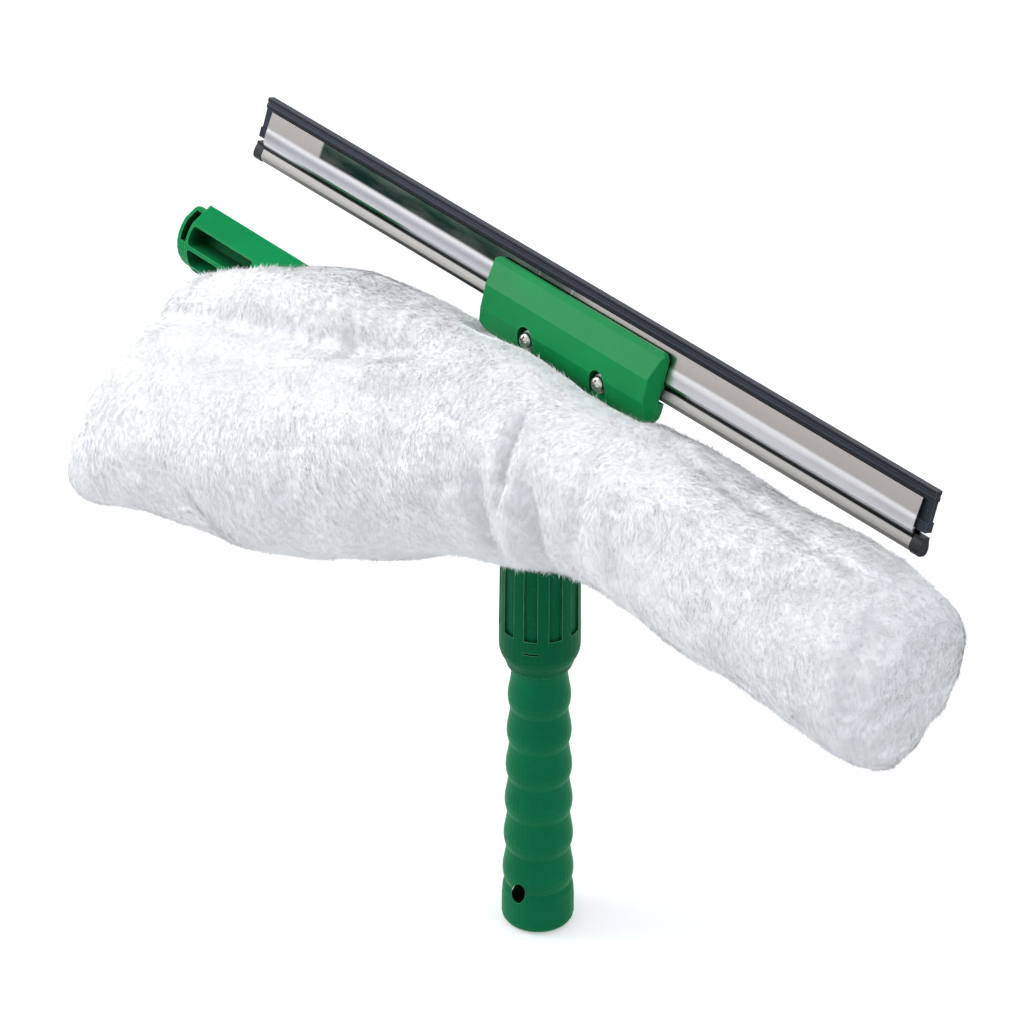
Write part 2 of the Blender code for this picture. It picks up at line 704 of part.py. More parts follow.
def niche_tool(x):
    """Arched niche for one screw head, open at the foot of the jaw."""
    radius = NICHE_RADIUS
    round_top = arc((x, 0.0), radius, 0.0, math.pi, ROUND_SMALL // 2)
    top = [(across, CLAMP_SCREW_HEIGHT + rise * NICHE_ARCH) for across, rise in round_top]
    outline = top + [(x - radius, JAW_BOTTOM * 2.0), (x + radius, JAW_BOTTOM * 2.0)]
    return plate(outline, NICHE_FLOOR, NICHE_FLOOR + JAW_CREST)


def clamp_hole_tool(x):
    """Hole of one clamp screw through both jaws, in the blade frame."""
    bm = bmesh.new()
    reach = REAR_JAW_BACK + JAW_CREST
    bmesh.ops.create_cone(bm, cap_ends=True, segments=ROUND_SMALL, radius1=SCREW_RADIUS + SCREW_GAP,
                          radius2=SCREW_RADIUS + SCREW_GAP, depth=2.0 * reach,
                          matrix=Matrix.Translation((x, CLAMP_SCREW_HEIGHT, 0.0)))
    return bm


def clamp_screw_places():
    """Places of the two clamp screws along the jaw."""
    return {"left": -CLAMP_SCREW_SPACING / 2.0, "right": CLAMP_SCREW_SPACING / 2.0}


def build_clamp_jaw(material):
    """Faceted front jaw, with its edges rounded and a niche for each screw head."""
    half = JAW_LENGTH / 2.0
    jaw = finish_object("clamp_jaw", prism(front_jaw_outline(), -half, half), material, blade_frame())
    combine(jaw, jaw_corner_tool(), "INTERSECT")
    trim_ends(jaw)
    round_edges(jaw, JAW_EDGE_ROUNDING)
    tools = bmesh.new()
    for x in clamp_screw_places().values():
        add_to(tools, niche_tool(x))
    combine(jaw, tools, "DIFFERENCE")
    holes = bmesh.new()
    for x in clamp_screw_places().values():
        add_to(holes, clamp_hole_tool(x))
    combine(jaw, holes, "DIFFERENCE")
    sharpen(jaw)
    return jaw


def rear_jaw_outline():
    """Section of the rear jaw: the same inner side, and a back in two facets."""
    outside = [
        (JAW_BOTTOM, -REAR_JAW_BACK),
        (REAR_JAW_BEND, -REAR_JAW_BEND_DEPTH),
        (JAW_TOP, -JAW_TOP_HALF),
    ]
    return jaw_inner(-1) + outside


def rear_jaw_foot(inset=0.0):
    """World Y and Z of the back corner of the rear jaw's foot, or of a point inside that corner."""
    corner = blade_frame() @ Vector((0.0, JAW_BOTTOM + inset, inset - REAR_JAW_BACK))
    return corner.y, corner.z


def bracket_web_outline():
    """Side view of the bracket: tongue, shelf over the hub and plate behind the hub, in world Y and Z."""
    top = hub_top()
    shelf = top + SEAT_GAP
    plate = HUB_RADIUS + SEAT_GAP
    frame = blade_frame()
    front = frame @ Vector((0.0, JAW_BOTTOM, -BRACKET_RELIEF))
    inner = frame @ Vector((0.0, JAW_BOTTOM + BRACKET_RELIEF, -BRACKET_RELIEF))
    return [
        (-TONGUE_HALF_DEPTH, top - TONGUE_LENGTH),
        (TONGUE_HALF_DEPTH, top - TONGUE_LENGTH),
        (TONGUE_HALF_DEPTH, shelf),
        (plate, shelf),
        (plate, top - BACK_PLATE_DROP),
        (plate + BACK_PLATE, top - BACK_PLATE_DROP),
        rear_jaw_foot(),
        rear_jaw_foot(BRACKET_RELIEF),
        (inner.y, inner.z),
        (front.y, front.z),
        (-SHELF_FRONT, shelf + SHELF_THICKNESS),
        (-SHELF_FRONT, shelf),
        (-TONGUE_HALF_DEPTH, shelf),
    ]


def wing_outline(grow=0.0):
    """Outline of the bracket's web from above: it widens from the shelf to the rear jaw."""
    back = rear_jaw_foot()[0] + grow
    near = back - WING_TIP_DEPTH - 2.0 * grow
    narrow = BRACKET_HALF_WIDTH * 0.9 + grow
    wide = WING_HALF_WIDTH + grow
    return [(-wide, back), (-wide, near), (-narrow, -grow), (narrow, -grow), (wide, near), (wide, back)]


def plate(outline, low, high):
    """A flat solid of an outline in X and Y, extruded from low to high along Z."""
    bm = bmesh.new()
    corners = [bm.verts.new((x, y, low)) for x, y in outline]
    face = bm.faces.new(corners)
    grown = bmesh.ops.extrude_face_region(bm, geom=[face])
    moved = [item for item in grown["geom"] if isinstance(item, bmesh.types.BMVert)]
    bmesh.ops.translate(bm, verts=moved, vec=(0.0, 0.0, high - low))
    return bm


def wing_bm():
    """The bracket's web, which runs into the foot of the rear jaw."""
    high = rear_jaw_foot(BRACKET_RELIEF)[1]
    return plate(wing_outline(), high - WING_THICKNESS, high)


def nut_pocket_tool(x):
    """Hexagonal pocket for one nut in the back of the rear jaw, in the blade frame."""
    bm = bmesh.new()
    corner = (NUT_FLATS / 2.0 + SEAT_GAP) / math.cos(math.pi / 6.0)
    high = NUT_POCKET_DEPTH - REAR_JAW_BACK
    low = -REAR_JAW_BACK - NUT_THICKNESS
    place = Matrix.Translation((x, CLAMP_SCREW_HEIGHT, (low + high) / 2.0))
    bmesh.ops.create_cone(bm, cap_ends=True, segments=6, radius1=corner, radius2=corner,
                          depth=high - low, matrix=place)
    return bm


def build_bracket(material):
    """Bracket that plugs into the hub and carries the rear jaw."""
    half = REAR_JAW_LENGTH / 2.0
    frame = blade_frame()
    bracket = finish_object("squeegee_bracket", prism(rear_jaw_outline(), -half, half), material, frame)
    round_edges(bracket, JAW_EDGE_ROUNDING)
    place_mesh_in_world(bracket)
    combine(bracket, wing_bm(), "UNION")
    web = prism(bracket_web_outline(), -BRACKET_HALF_WIDTH, BRACKET_HALF_WIDTH)
    combine(bracket, web, "UNION")
    side = BRACKET_HALF_WIDTH - TONGUE_HALF_WIDTH
    top = hub_top() + SEAT_GAP
    low = top - TONGUE_LENGTH * 2.0
    for sign in (-1, 1):
        near = sign * (BRACKET_HALF_WIDTH - side)
        far = sign * BRACKET_HALF_WIDTH * 1.2
        corner_low = (min(near, far), -TONGUE_HALF_DEPTH * 1.5, low)
        corner_high = (max(near, far), TONGUE_HALF_DEPTH * 1.5, top)
        combine(bracket, box(corner_low, corner_high), "DIFFERENCE")
    combine(bracket, bracket_screw_hole(-BRACKET_SCREW_REACH, rear_jaw_foot()[0] * 2.0), "DIFFERENCE")
    tools = bmesh.new()
    for x in clamp_screw_places().values():
        add_to(tools, nut_pocket_tool(x))
    combine(bracket, tools, "DIFFERENCE", frame)
    holes = bmesh.new()
    for x in clamp_screw_places().values():
        add_to(holes, clamp_hole_tool(x))
    combine(bracket, holes, "DIFFERENCE", frame)
    sharpen(bracket)
    return bracket


# Fasteners

def screw_bm(length):
    """Domed screw with a cross recess: its head's seat at local Z = 0, its shank below."""
    dome = [(HEAD_RADIUS * math.cos(angle), HEAD_HEIGHT * (0.3 + 0.7 * math.sin(angle)))
            for angle in (i * math.pi / 12.0 for i in range(7))]
    profile = [(HEAD_RADIUS, 0.0)] + dome
    profile[-1] = (0.0, HEAD_HEIGHT)
    profile += [(0.0, -length), (SCREW_RADIUS * 0.7, -length), (SCREW_RADIUS, -length + SCREW_RADIUS * 0.4)]
    profile.append((SCREW_RADIUS, 0.0))
    return lathe(profile, ROUND_SMALL)


def cross_tool():
    """Two crossed slots in the head of a screw."""
    low = HEAD_HEIGHT - CROSS_DEPTH
    half = CROSS_WIDTH / 2.0
    bm = box((-CROSS_REACH, -half, low), (CROSS_REACH, half, HEAD_HEIGHT * 2.0))
    return bm, box((-half, -CROSS_REACH, low), (half, CROSS_REACH, HEAD_HEIGHT * 2.0))


def build_screw(name, length, frame, material):
    """One screw, with its origin on its axis under its head."""
    screw = finish_object(name, screw_bm(length), material, frame)
    for slot in cross_tool():
        combine(screw, slot, "DIFFERENCE")
    sharpen(screw)
    return screw


def washer_seat():
    """Depth of the underside of the clamp washers in the blade frame."""
    return NICHE_FLOOR + SEAT_GAP


def head_seat():
    """Depth of the underside of the clamp screw heads in the blade frame."""
    return washer_seat() + WASHER_THICKNESS + SEAT_GAP


def build_clamp_screw(side, x, material):
    """Clamp screw from its head in the niche to just past its nut."""
    length = head_seat() + REAR_JAW_BACK + NUT_THICKNESS - NUT_POCKET_DEPTH + SCREW_TAIL
    frame = blade_frame() @ Matrix.Translation((x, CLAMP_SCREW_HEIGHT, head_seat()))
    return build_screw("clamp_screw_" + side, length, frame, material)


def ring_bm(outer, bore, thickness, segments):
    """Flat ring round local Z, from Z = 0 up."""
    profile = [(bore, 0.0), (outer, 0.0), (outer, thickness), (bore, thickness)]
    return lathe(profile, segments)


def build_washer(side, x, material):
    """Flat washer under one clamp screw's head."""
    frame = blade_frame() @ Matrix.Translation((x, CLAMP_SCREW_HEIGHT, washer_seat()))
    bm = ring_bm(WASHER_RADIUS, SCREW_RADIUS + SCREW_GAP, WASHER_THICKNESS, ROUND_SMALL)
    washer = finish_object("clamp_washer_" + side, bm, material, frame)
    sharpen(washer)
    return washer


def build_nut(side, x, material):
    """Hexagonal nut in its pocket at the back of the rear jaw."""
    depth = NUT_POCKET_DEPTH - REAR_JAW_BACK - SEAT_GAP - NUT_THICKNESS
    frame = blade_frame() @ Matrix.Translation((x, CLAMP_SCREW_HEIGHT, depth))
    corner = NUT_FLATS / 2.0 / math.cos(math.pi / 6.0)
    bm = bmesh.new()
    place = Matrix.Translation((0.0, 0.0, NUT_THICKNESS / 2.0))
    bmesh.ops.create_cone(bm, cap_ends=True, segments=6, radius1=corner, radius2=corner,
                          depth=NUT_THICKNESS, matrix=place)
    nut = finish_object("clamp_nut_" + side, bm, material, frame)
    hole = bmesh.new()
    radius = SCREW_RADIUS + SCREW_GAP
    bmesh.ops.create_cone(hole, cap_ends=True, segments=ROUND_SMALL, radius1=radius, radius2=radius,
                          depth=4.0 * NUT_THICKNESS)
    combine(nut, hole, "DIFFERENCE")
    sharpen(nut)
    return nut


def build_bracket_screw(material):
    """Screw that holds the bracket's plate against the back of the hub and bites into the tongue."""
    height = hub_top() - BRACKET_SCREW_DROP
    foot_y, foot_z = rear_jaw_foot()
    top = foot_z + SHELF_THICKNESS / 2.0
    low = hub_top() - BACK_PLATE_DROP
    near = HUB_RADIUS + SEAT_GAP + BACK_PLATE
    lean = (foot_y - near) / (top - low)
    face = near + lean * (height + HEAD_RADIUS - low) + SEAT_GAP
    turn = Matrix.Rotation(-math.pi / 2.0, 4, "X")
    frame = Matrix.Translation((0.0, face, height)) @ turn
    return build_screw("bracket_screw", face + BRACKET_SCREW_REACH - SCREW_GAP, frame, material)


# Blade

def cheek_line():
    """Middle line of one side of the channel's sheet, from the lip down to the spine."""
    sheet = SHEET / 2.0
    radius = SPINE_RADIUS - sheet
    join = math.asin(min(0.95, GROOVE_HALF / radius))
    return [
        (LIP_HEIGHT, LIP_HALF - sheet),
        (CHEEK_HIGH, CHEEK_HALF - sheet),
        (CHEEK_LOW, CHEEK_HALF - sheet),
        (GROOVE_HEIGHT, GROOVE_HALF),
    ] + [(SPINE_RADIUS + radius * math.cos(a), radius * math.sin(a))
         for a in (join + (math.pi - join) * i / 5.0 for i in range(1, 6))]


def offset_line(points, distance):
    """Points of an open line moved sideways, with mitred corners."""
    moved = []
    last = len(points) - 1
    for i, (y, z) in enumerate(points):
        before = Vector(points[i]) - Vector(points[i - 1]) if i > 0 else None
        after = Vector(points[i + 1]) - Vector(points[i]) if i < last else None
        first = (before or after).normalized()
        second = (after or before).normalized()
        normal_a = Vector((-first.y, first.x))
        normal_b = Vector((-second.y, second.x))
        mitre = (normal_a + normal_b).normalized()
        shift = distance / max(0.3, mitre.dot(normal_a))
        moved.append((y + mitre.x * shift, z + mitre.y * shift))
    return moved


def channel_outline():
    """Section of the folded sheet: up one face of the sheet and back down the other."""
    front = cheek_line()
    back = [(y, -z) for y, z in reversed(front[:-1])]
    line = front + back
    return offset_line(line, SHEET / 2.0) + list(reversed(offset_line(line, -SHEET / 2.0)))


def blade_middle():
    """Blade frame moved to the middle of the channel, which sits off the clamp's centre."""
    return blade_frame() @ Matrix.Translation((BLADE_SHIFT, 0.0, 0.0))


def build_channel(material):
    """Stainless channel, one folded sheet."""
    half = CHANNEL_LENGTH / 2.0
    channel = finish_object("squeegee_channel", prism(channel_outline(), -half, half), material, blade_middle())
    sharpen(channel)
    return channel


def rubber_outline():
    """Section of the rubber: a bead in the channel, a web between the lips and a square tip."""
    low = RUBBER_BEAD_LOW
    high = low + RUBBER_BEAD_HEIGHT
    tip_low = LIP_HEIGHT + SEAT_GAP
    tip_high = LIP_HEIGHT + RUBBER_TIP
    line = (tip_high - tip_low) / 3.0
    inset = RUBBER_TIP_HALF - RUBBER_LINE_DEPTH
    right = [
        (low, RUBBER_BEAD_HALF),
        (high, RUBBER_BEAD_HALF),
        (high + SEAT_GAP, RUBBER_WEB_HALF),
        (tip_low, RUBBER_WEB_HALF),
        (tip_low, RUBBER_TIP_HALF),
        (tip_low + line, RUBBER_TIP_HALF),
        (tip_low + line * 1.15, inset),
        (tip_low + line * 1.85, inset),
        (tip_low + line * 2.0, RUBBER_TIP_HALF),
        (tip_high, RUBBER_TIP_HALF),
    ]
    return right + [(y, -z) for y, z in reversed(right)]


def rubber_half_length():
    """Half the length of the rubber, which stands out of the channel at both ends."""
    return CHANNEL_LENGTH / 2.0 + RUBBER_OVERHANG


def build_rubber(material):
    """Rubber blade, a little longer than its channel."""
    half = rubber_half_length()
    return finish_object("squeegee_rubber", prism(rubber_outline(), -half, half), material, blade_middle())


def clip_outline():
    """Section of an end clip: it covers the end of the spine and stops below the rubber."""
    waist = GROOVE_HALF + SHEET / 2.0
    top = GROOVE_HEIGHT + CLIP_RISE
    right = [
        (0.0, SPINE_RADIUS * 0.5),
        (SPINE_RADIUS * 0.4, SPINE_RADIUS * 0.9),
        (SPINE_RADIUS, SPINE_RADIUS),
        (SPINE_RADIUS * 1.6, SPINE_RADIUS * 0.9),
        (GROOVE_HEIGHT, waist),
        (top, waist),
    ]
    return right + [(y, -z) for y, z in reversed(right)]


def build_end_clip(side, sign, material):
    """Plastic clip at one end of the channel, with a plug in the hollow spine."""
    half = CHANNEL_LENGTH / 2.0
    near = half + SEAT_GAP
    far = near + CLIP_THICKNESS
    bm = prism(clip_outline(), min(sign * near, sign * far), max(sign * near, sign * far))
    clip = finish_object("channel_clip_" + side, bm, material, blade_middle())
    plug = bmesh.new()
    length = CLIP_PLUG_LENGTH + CLIP_THICKNESS / 2.0
    middle = near + CLIP_THICKNESS / 2.0 - length / 2.0
    turn = Matrix.Rotation(math.pi / 2.0, 4, "Y")
    place = Matrix.Translation((sign * middle, SPINE_RADIUS, 0.0)) @ turn
    bmesh.ops.create_cone(plug, cap_ends=True, segments=12, radius1=CLIP_PLUG_RADIUS,
                          radius2=CLIP_PLUG_RADIUS, depth=length, matrix=place)
    combine(clip, plug, "UNION")
    sharpen(clip)
    return clip


# Sleeve

def ramp(value, start, end):
    """Share of the way from start to end, kept between 0 and 1."""
    return min(1.0, max(0.0, (value - start) / (end - start)))


def bell(distance, width):
    """A smooth bump of height 1."""
    return math.exp(-(distance / width) ** 2)


def sleeve_section(x):
    """Reach of the sleeve above and below the crossbar's axis, its half thickness and its shift forward."""
    slack = ramp(-x, -SLACK_START, SLACK_FULL) ** SLACK_GROWTH
    slip = ramp(-x, SLIP_START, SLEEVE_LEFT_END)
    taper = ramp(x, SLEEVE_RIGHT_END - SLEEVE_TAPER_LENGTH, SLEEVE_RIGHT_END)
    above = SLEEVE_RADIUS - SLEEVE_SAG - SLACK_SETTLE * slack - SLIP_DROP * slip ** SLIP_GROWTH
    below = SLEEVE_RADIUS + SLEEVE_SAG + SLACK_DEPTH * slack
    thick = SLEEVE_RADIUS - SLIP_THINNING * slip - SLEEVE_END_TAPER * taper
    forward = SLIP_FORWARD * math.sin(math.pi * slip)
    return above, below, thick, forward


def distance_to_line(point, line):
    """Distance of a flat point from a line of several points."""
    spot = Vector(point)
    best = None
    for start, end in zip(line, line[1:]):
        low, along = Vector(start), Vector(end) - Vector(start)
        share = min(1.0, max(0.0, (spot - low).dot(along) / along.length_squared))
        away = (spot - low - along * share).length
        best = away if best is None else min(best, away)
    return best


def fold_depth(x, rise):
    """Depth of the folds at one place on the sleeve's front."""
    return sum(depth * bell(distance_to_line((x, rise), line), width) for line, depth, width in SLEEVE_FOLDS)


def sleeve_ring(bm, x, inset):
    """One ring of the sleeve's surface, in a plane across X, drawn in by the inset."""
    above, below, thick, forward = sleeve_section(x)
    half = (above + below) / 2.0 - inset
    middle = (above - below) / 2.0
    up = Vector((0.0, math.cos(SLEEVE_LEAN), math.sin(SLEEVE_LEAN)))
    front = Vector((0.0, -math.sin(SLEEVE_LEAN), math.cos(SLEEVE_LEAN)))
    centre = Vector((x, 0.0, CROSSBAR_HEIGHT)) + up * middle + front * forward
    ring = []
    for i in range(SLEEVE_POINTS):
        angle = 2.0 * math.pi * i / SLEEVE_POINTS
        across, out = math.cos(angle), math.sin(angle)
        reach = (abs(across) ** SLEEVE_SQUARENESS + abs(out) ** SLEEVE_SQUARENESS) ** (-1.0 / SLEEVE_SQUARENESS)
        rise = half * across * reach
        depth = (thick - inset) * out * reach - fold_depth(x, middle + rise) * max(0.0, out)
        ring.append(bm.verts.new(centre + up * rise + front * depth))
    return ring


def sleeve_places():
    """Places of the rings along X with their insets: both ends are rounded."""
    steps = 3
    ends = []
    for i in range(steps + 1):
        angle = math.pi / 2.0 * i / steps
        ends.append((SLEEVE_END_ROUNDING * (1.0 - math.sin(angle)), SLEEVE_END_ROUNDING * (1.0 - math.cos(angle))))
    right = [(SLEEVE_RIGHT_END - back, inset) for inset, back in ends]
    left = [(back - SLEEVE_LEFT_END, inset) for inset, back in reversed(ends)]
    middle = []
    x = right[-1][0]
    while x - left[0][0] > SLEEVE_RING_SPACING * 1.5:
        x -= BUNCH_RING_SPACING if BUNCH_START < x < BUNCH_END else SLEEVE_RING_SPACING
        middle.append((x, 0.0))
    return right + middle + left


def build_sleeve(material):
    """Fleece sleeve as a closed solid, hollow for the bar and open behind for the hub and bracket."""
    bm = bmesh.new()
    rings = [sleeve_ring(bm, x, inset) for x, inset in sleeve_places()]
    for near, far in zip(rings, rings[1:]):
        for i in range(SLEEVE_POINTS):
            after = (i + 1) % SLEEVE_POINTS
            bm.faces.new((near[i], near[after], far[after], far[i]))
    bm.faces.new(rings[0])
    bm.faces.new(list(reversed(rings[-1])))
    sleeve = finish_object("scrubber_sleeve", bm, material)
    combine(sleeve, sleeve_clamp_tool(), "DIFFERENCE", blade_frame())
    combine(sleeve, sleeve_blade_tool(), "DIFFERENCE", blade_frame())
    combine(sleeve, sleeve_bar_tool(), "DIFFERENCE", crossbar_frame())
    combine(sleeve, sleeve_hub_tool(), "DIFFERENCE", Matrix.Identity(4))
    for side in (-1, 1):
        combine(sleeve, gusset_bm(side, SLEEVE_BAR_GAP), "DIFFERENCE", Matrix.Identity(4))
    combine(sleeve, sleeve_back_tool(), "DIFFERENCE", Matrix.Identity(4))
    combine(sleeve, sleeve_wing_tool(), "DIFFERENCE", Matrix.Identity(4))
    sleeve.data.shade_smooth()
    return sleeve


def sleeve_bar_tool():
    """Room for the crossbar inside the sleeve."""
    half = CROSSBAR_LENGTH / 2.0 + SLEEVE_BAR_GAP
    gap = SLEEVE_BAR_GAP
    return prism(half_round(CROSSBAR_RADIUS + gap, gap), -half, half)


def sleeve_hub_tool():
    """Room for the collar and hub, from below the sleeve up to the bracket's shelf."""
    low = CROSSBAR_HEIGHT - SLEEVE_RADIUS * 3.0
    high = hub_top() + SLEEVE_BAR_GAP
    radius = COLLAR_RADIUS + SLEEVE_BAR_GAP
    bm = bmesh.new()
    place = Matrix.Translation((0.0, 0.0, (low + high) / 2.0))
    bmesh.ops.create_cone(bm, cap_ends=True, segments=ROUND_SMALL, radius1=radius, radius2=radius,
                          depth=high - low, matrix=place)
    return bm


def sleeve_back_tool():
    """Opening behind the hub, which the bracket comes through, with a slot for the bracket's shelf."""
    low = CROSSBAR_HEIGHT - SLEEVE_RADIUS * 3.0
    high = CROSSBAR_HEIGHT + SLEEVE_RADIUS * 2.0
    half = COLLAR_RADIUS + SLEEVE_BAR_GAP * 2.0
    shelf = hub_top()
    roof = shelf + SHELF_THICKNESS + SLEEVE_BAR_GAP * 2.0
    front = -SHELF_FRONT - SLEEVE_BAR_GAP
    outline = [(BACK_OPENING, low), (SLEEVE_RADIUS * 2.0, low), (SLEEVE_RADIUS * 2.0, high),
               (BACK_OPENING, high), (BACK_OPENING, roof), (front, roof), (front, shelf), (BACK_OPENING, shelf)]
    return prism(outline, -half, half)


def sleeve_wing_tool():
    """Slot for the bracket's web."""
    high = rear_jaw_foot(BRACKET_RELIEF)[1]
    return plate(wing_outline(SLEEVE_BAR_GAP), high - WING_THICKNESS - SLEEVE_BAR_GAP, high + SLEEVE_BAR_GAP)


def sleeve_blade_tool():
    """Room for the channel, which slides along just above the sleeve."""
    gap = SLEEVE_CLAMP_GAP
    half = SLEEVE_RIGHT_END + SLEEVE_LEFT_END
    front = SPINE_RADIUS + gap
    outline = [(-gap, front), (SLEEVE_RADIUS, front), (SLEEVE_RADIUS, -SLEEVE_RADIUS), (-gap, -SLEEVE_RADIUS)]
    return prism(outline, -half, half)


def sleeve_clamp_tool():
    """Room for the clamp behind and above the middle of the sleeve, and for the front jaw to open."""
    gap = SLEEVE_CLAMP_GAP
    half = JAW_LENGTH / 2.0 + gap
    low = JAW_BOTTOM - gap
    back = -SLEEVE_RADIUS * 1.5
    outline = [(low, JAW_FOOT + gap), (JAW_CHIN_HEIGHT, JAW_CREST + gap), (SLEEVE_RADIUS, JAW_CREST + gap),
               (SLEEVE_RADIUS, back), (low, back)]
    return prism(outline, -half, half)


def set_origin_on_axis(obj, point):
    """Moves an object's origin to a world point on its joint's axis, its shape left in place."""
    shift = obj.matrix_world.inverted() @ Vector(point)
    obj.data.transform(Matrix.Translation(-shift))
    obj.matrix_world = obj.matrix_world @ Matrix.Translation(shift)


def main():
    clear_scene()
    green = make_material("green_plastic", (0.010, 0.330, 0.120), 0.38)
    steel = make_material("stainless_steel", (0.62, 0.60, 0.58), 0.18, 1.0)
    zinc = make_material("plated_steel", (0.55, 0.54, 0.52), 0.25, 1.0)
    rubber = make_material("blade_rubber", (0.045, 0.052, 0.065), 0.55)
    black = make_material("black_plastic", (0.012, 0.013, 0.015), 0.45)
    fleece = make_material("white_fleece", (0.86, 0.88, 0.90), 0.95)

    build_grip(green)
    build_t_bar(green)
    build_bracket(green)
    build_bracket_screw(zinc)
    jaw = build_clamp_jaw(green)
    set_origin_on_axis(jaw, blade_frame() @ Vector((0.0, CLAMP_SCREW_HEIGHT, 0.0)))
    for side, x in clamp_screw_places().items():
        build_clamp_screw(side, x, zinc)
        build_washer(side, x, zinc)
        build_nut(side, x, zinc)
    build_channel(steel)
    build_rubber(rubber)
    build_end_clip("left", -1, black)
    build_end_clip("right", 1, black)
    build_sleeve(fleece)


main()
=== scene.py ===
"""Window squeegee with a washing sleeve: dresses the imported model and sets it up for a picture."""
import logging
import math
from dataclasses import dataclass
from enum import Enum

import bpy
import numpy as np
from mathutils import Matrix, Vector
from mathutils.kdtree import KDTree


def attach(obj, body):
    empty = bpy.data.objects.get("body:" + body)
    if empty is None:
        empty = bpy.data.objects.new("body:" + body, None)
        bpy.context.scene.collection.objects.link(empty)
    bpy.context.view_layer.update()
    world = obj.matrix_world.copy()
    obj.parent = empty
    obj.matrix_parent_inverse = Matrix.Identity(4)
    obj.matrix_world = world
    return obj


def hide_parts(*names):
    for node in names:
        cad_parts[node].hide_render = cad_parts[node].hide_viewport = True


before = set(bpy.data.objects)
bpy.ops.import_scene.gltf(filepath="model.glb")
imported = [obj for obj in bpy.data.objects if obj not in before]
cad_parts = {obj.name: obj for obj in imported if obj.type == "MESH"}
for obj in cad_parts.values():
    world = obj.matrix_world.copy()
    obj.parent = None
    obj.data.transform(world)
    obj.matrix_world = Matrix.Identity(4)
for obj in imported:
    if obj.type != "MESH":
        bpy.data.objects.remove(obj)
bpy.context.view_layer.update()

LOG = logging.getLogger("squeegee")

# The blade's frame: its foot, the way up its face and the way out of it.
BLADE_ORIGIN = (0.0, 0.0168, 0.2355)
BLADE_RISE = (0.0, 0.30702, 0.95170)
BLADE_OUT = (0.0, -0.95170, 0.30702)

Colour = tuple[float, float, float]
Point = tuple[float, float, float]


class Body(str, Enum):
    """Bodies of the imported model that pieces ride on."""

    TOOL = "tool"


class Slot(str, Enum):
    """Material slots of the record."""

    FLEECE = "white_fleece"


def linear(red: int, green: int, blue: int) -> Colour:
    """Turns a colour as a picture shows it, 0 to 255, into the renderer's linear values."""
    def one(value: int) -> float:
        """One channel in linear light."""
        v = value / 255.0
        return v / 12.92 if v <= 0.04045 else ((v + 0.055) / 1.055) ** 2.4

    return one(red), one(green), one(blue)


def maths_node(tree: bpy.types.NodeTree, kind: str, *values: object) -> bpy.types.NodeSocket:
    """Adds a Math node; a number is set on its socket and a socket is linked.

    Args:
        tree: The nodes that it joins.
        kind: Operation of the Math node.
        values: Its numbers or sockets, in order.

    Returns:
        The result.
    """
    node = tree.nodes.new("ShaderNodeMath")
    node.operation = kind
    for socket, value in zip(node.inputs, values):
        if isinstance(value, (int, float)):
            socket.default_value = value
        else:
            tree.links.new(value, socket)
    return node.outputs["Value"]


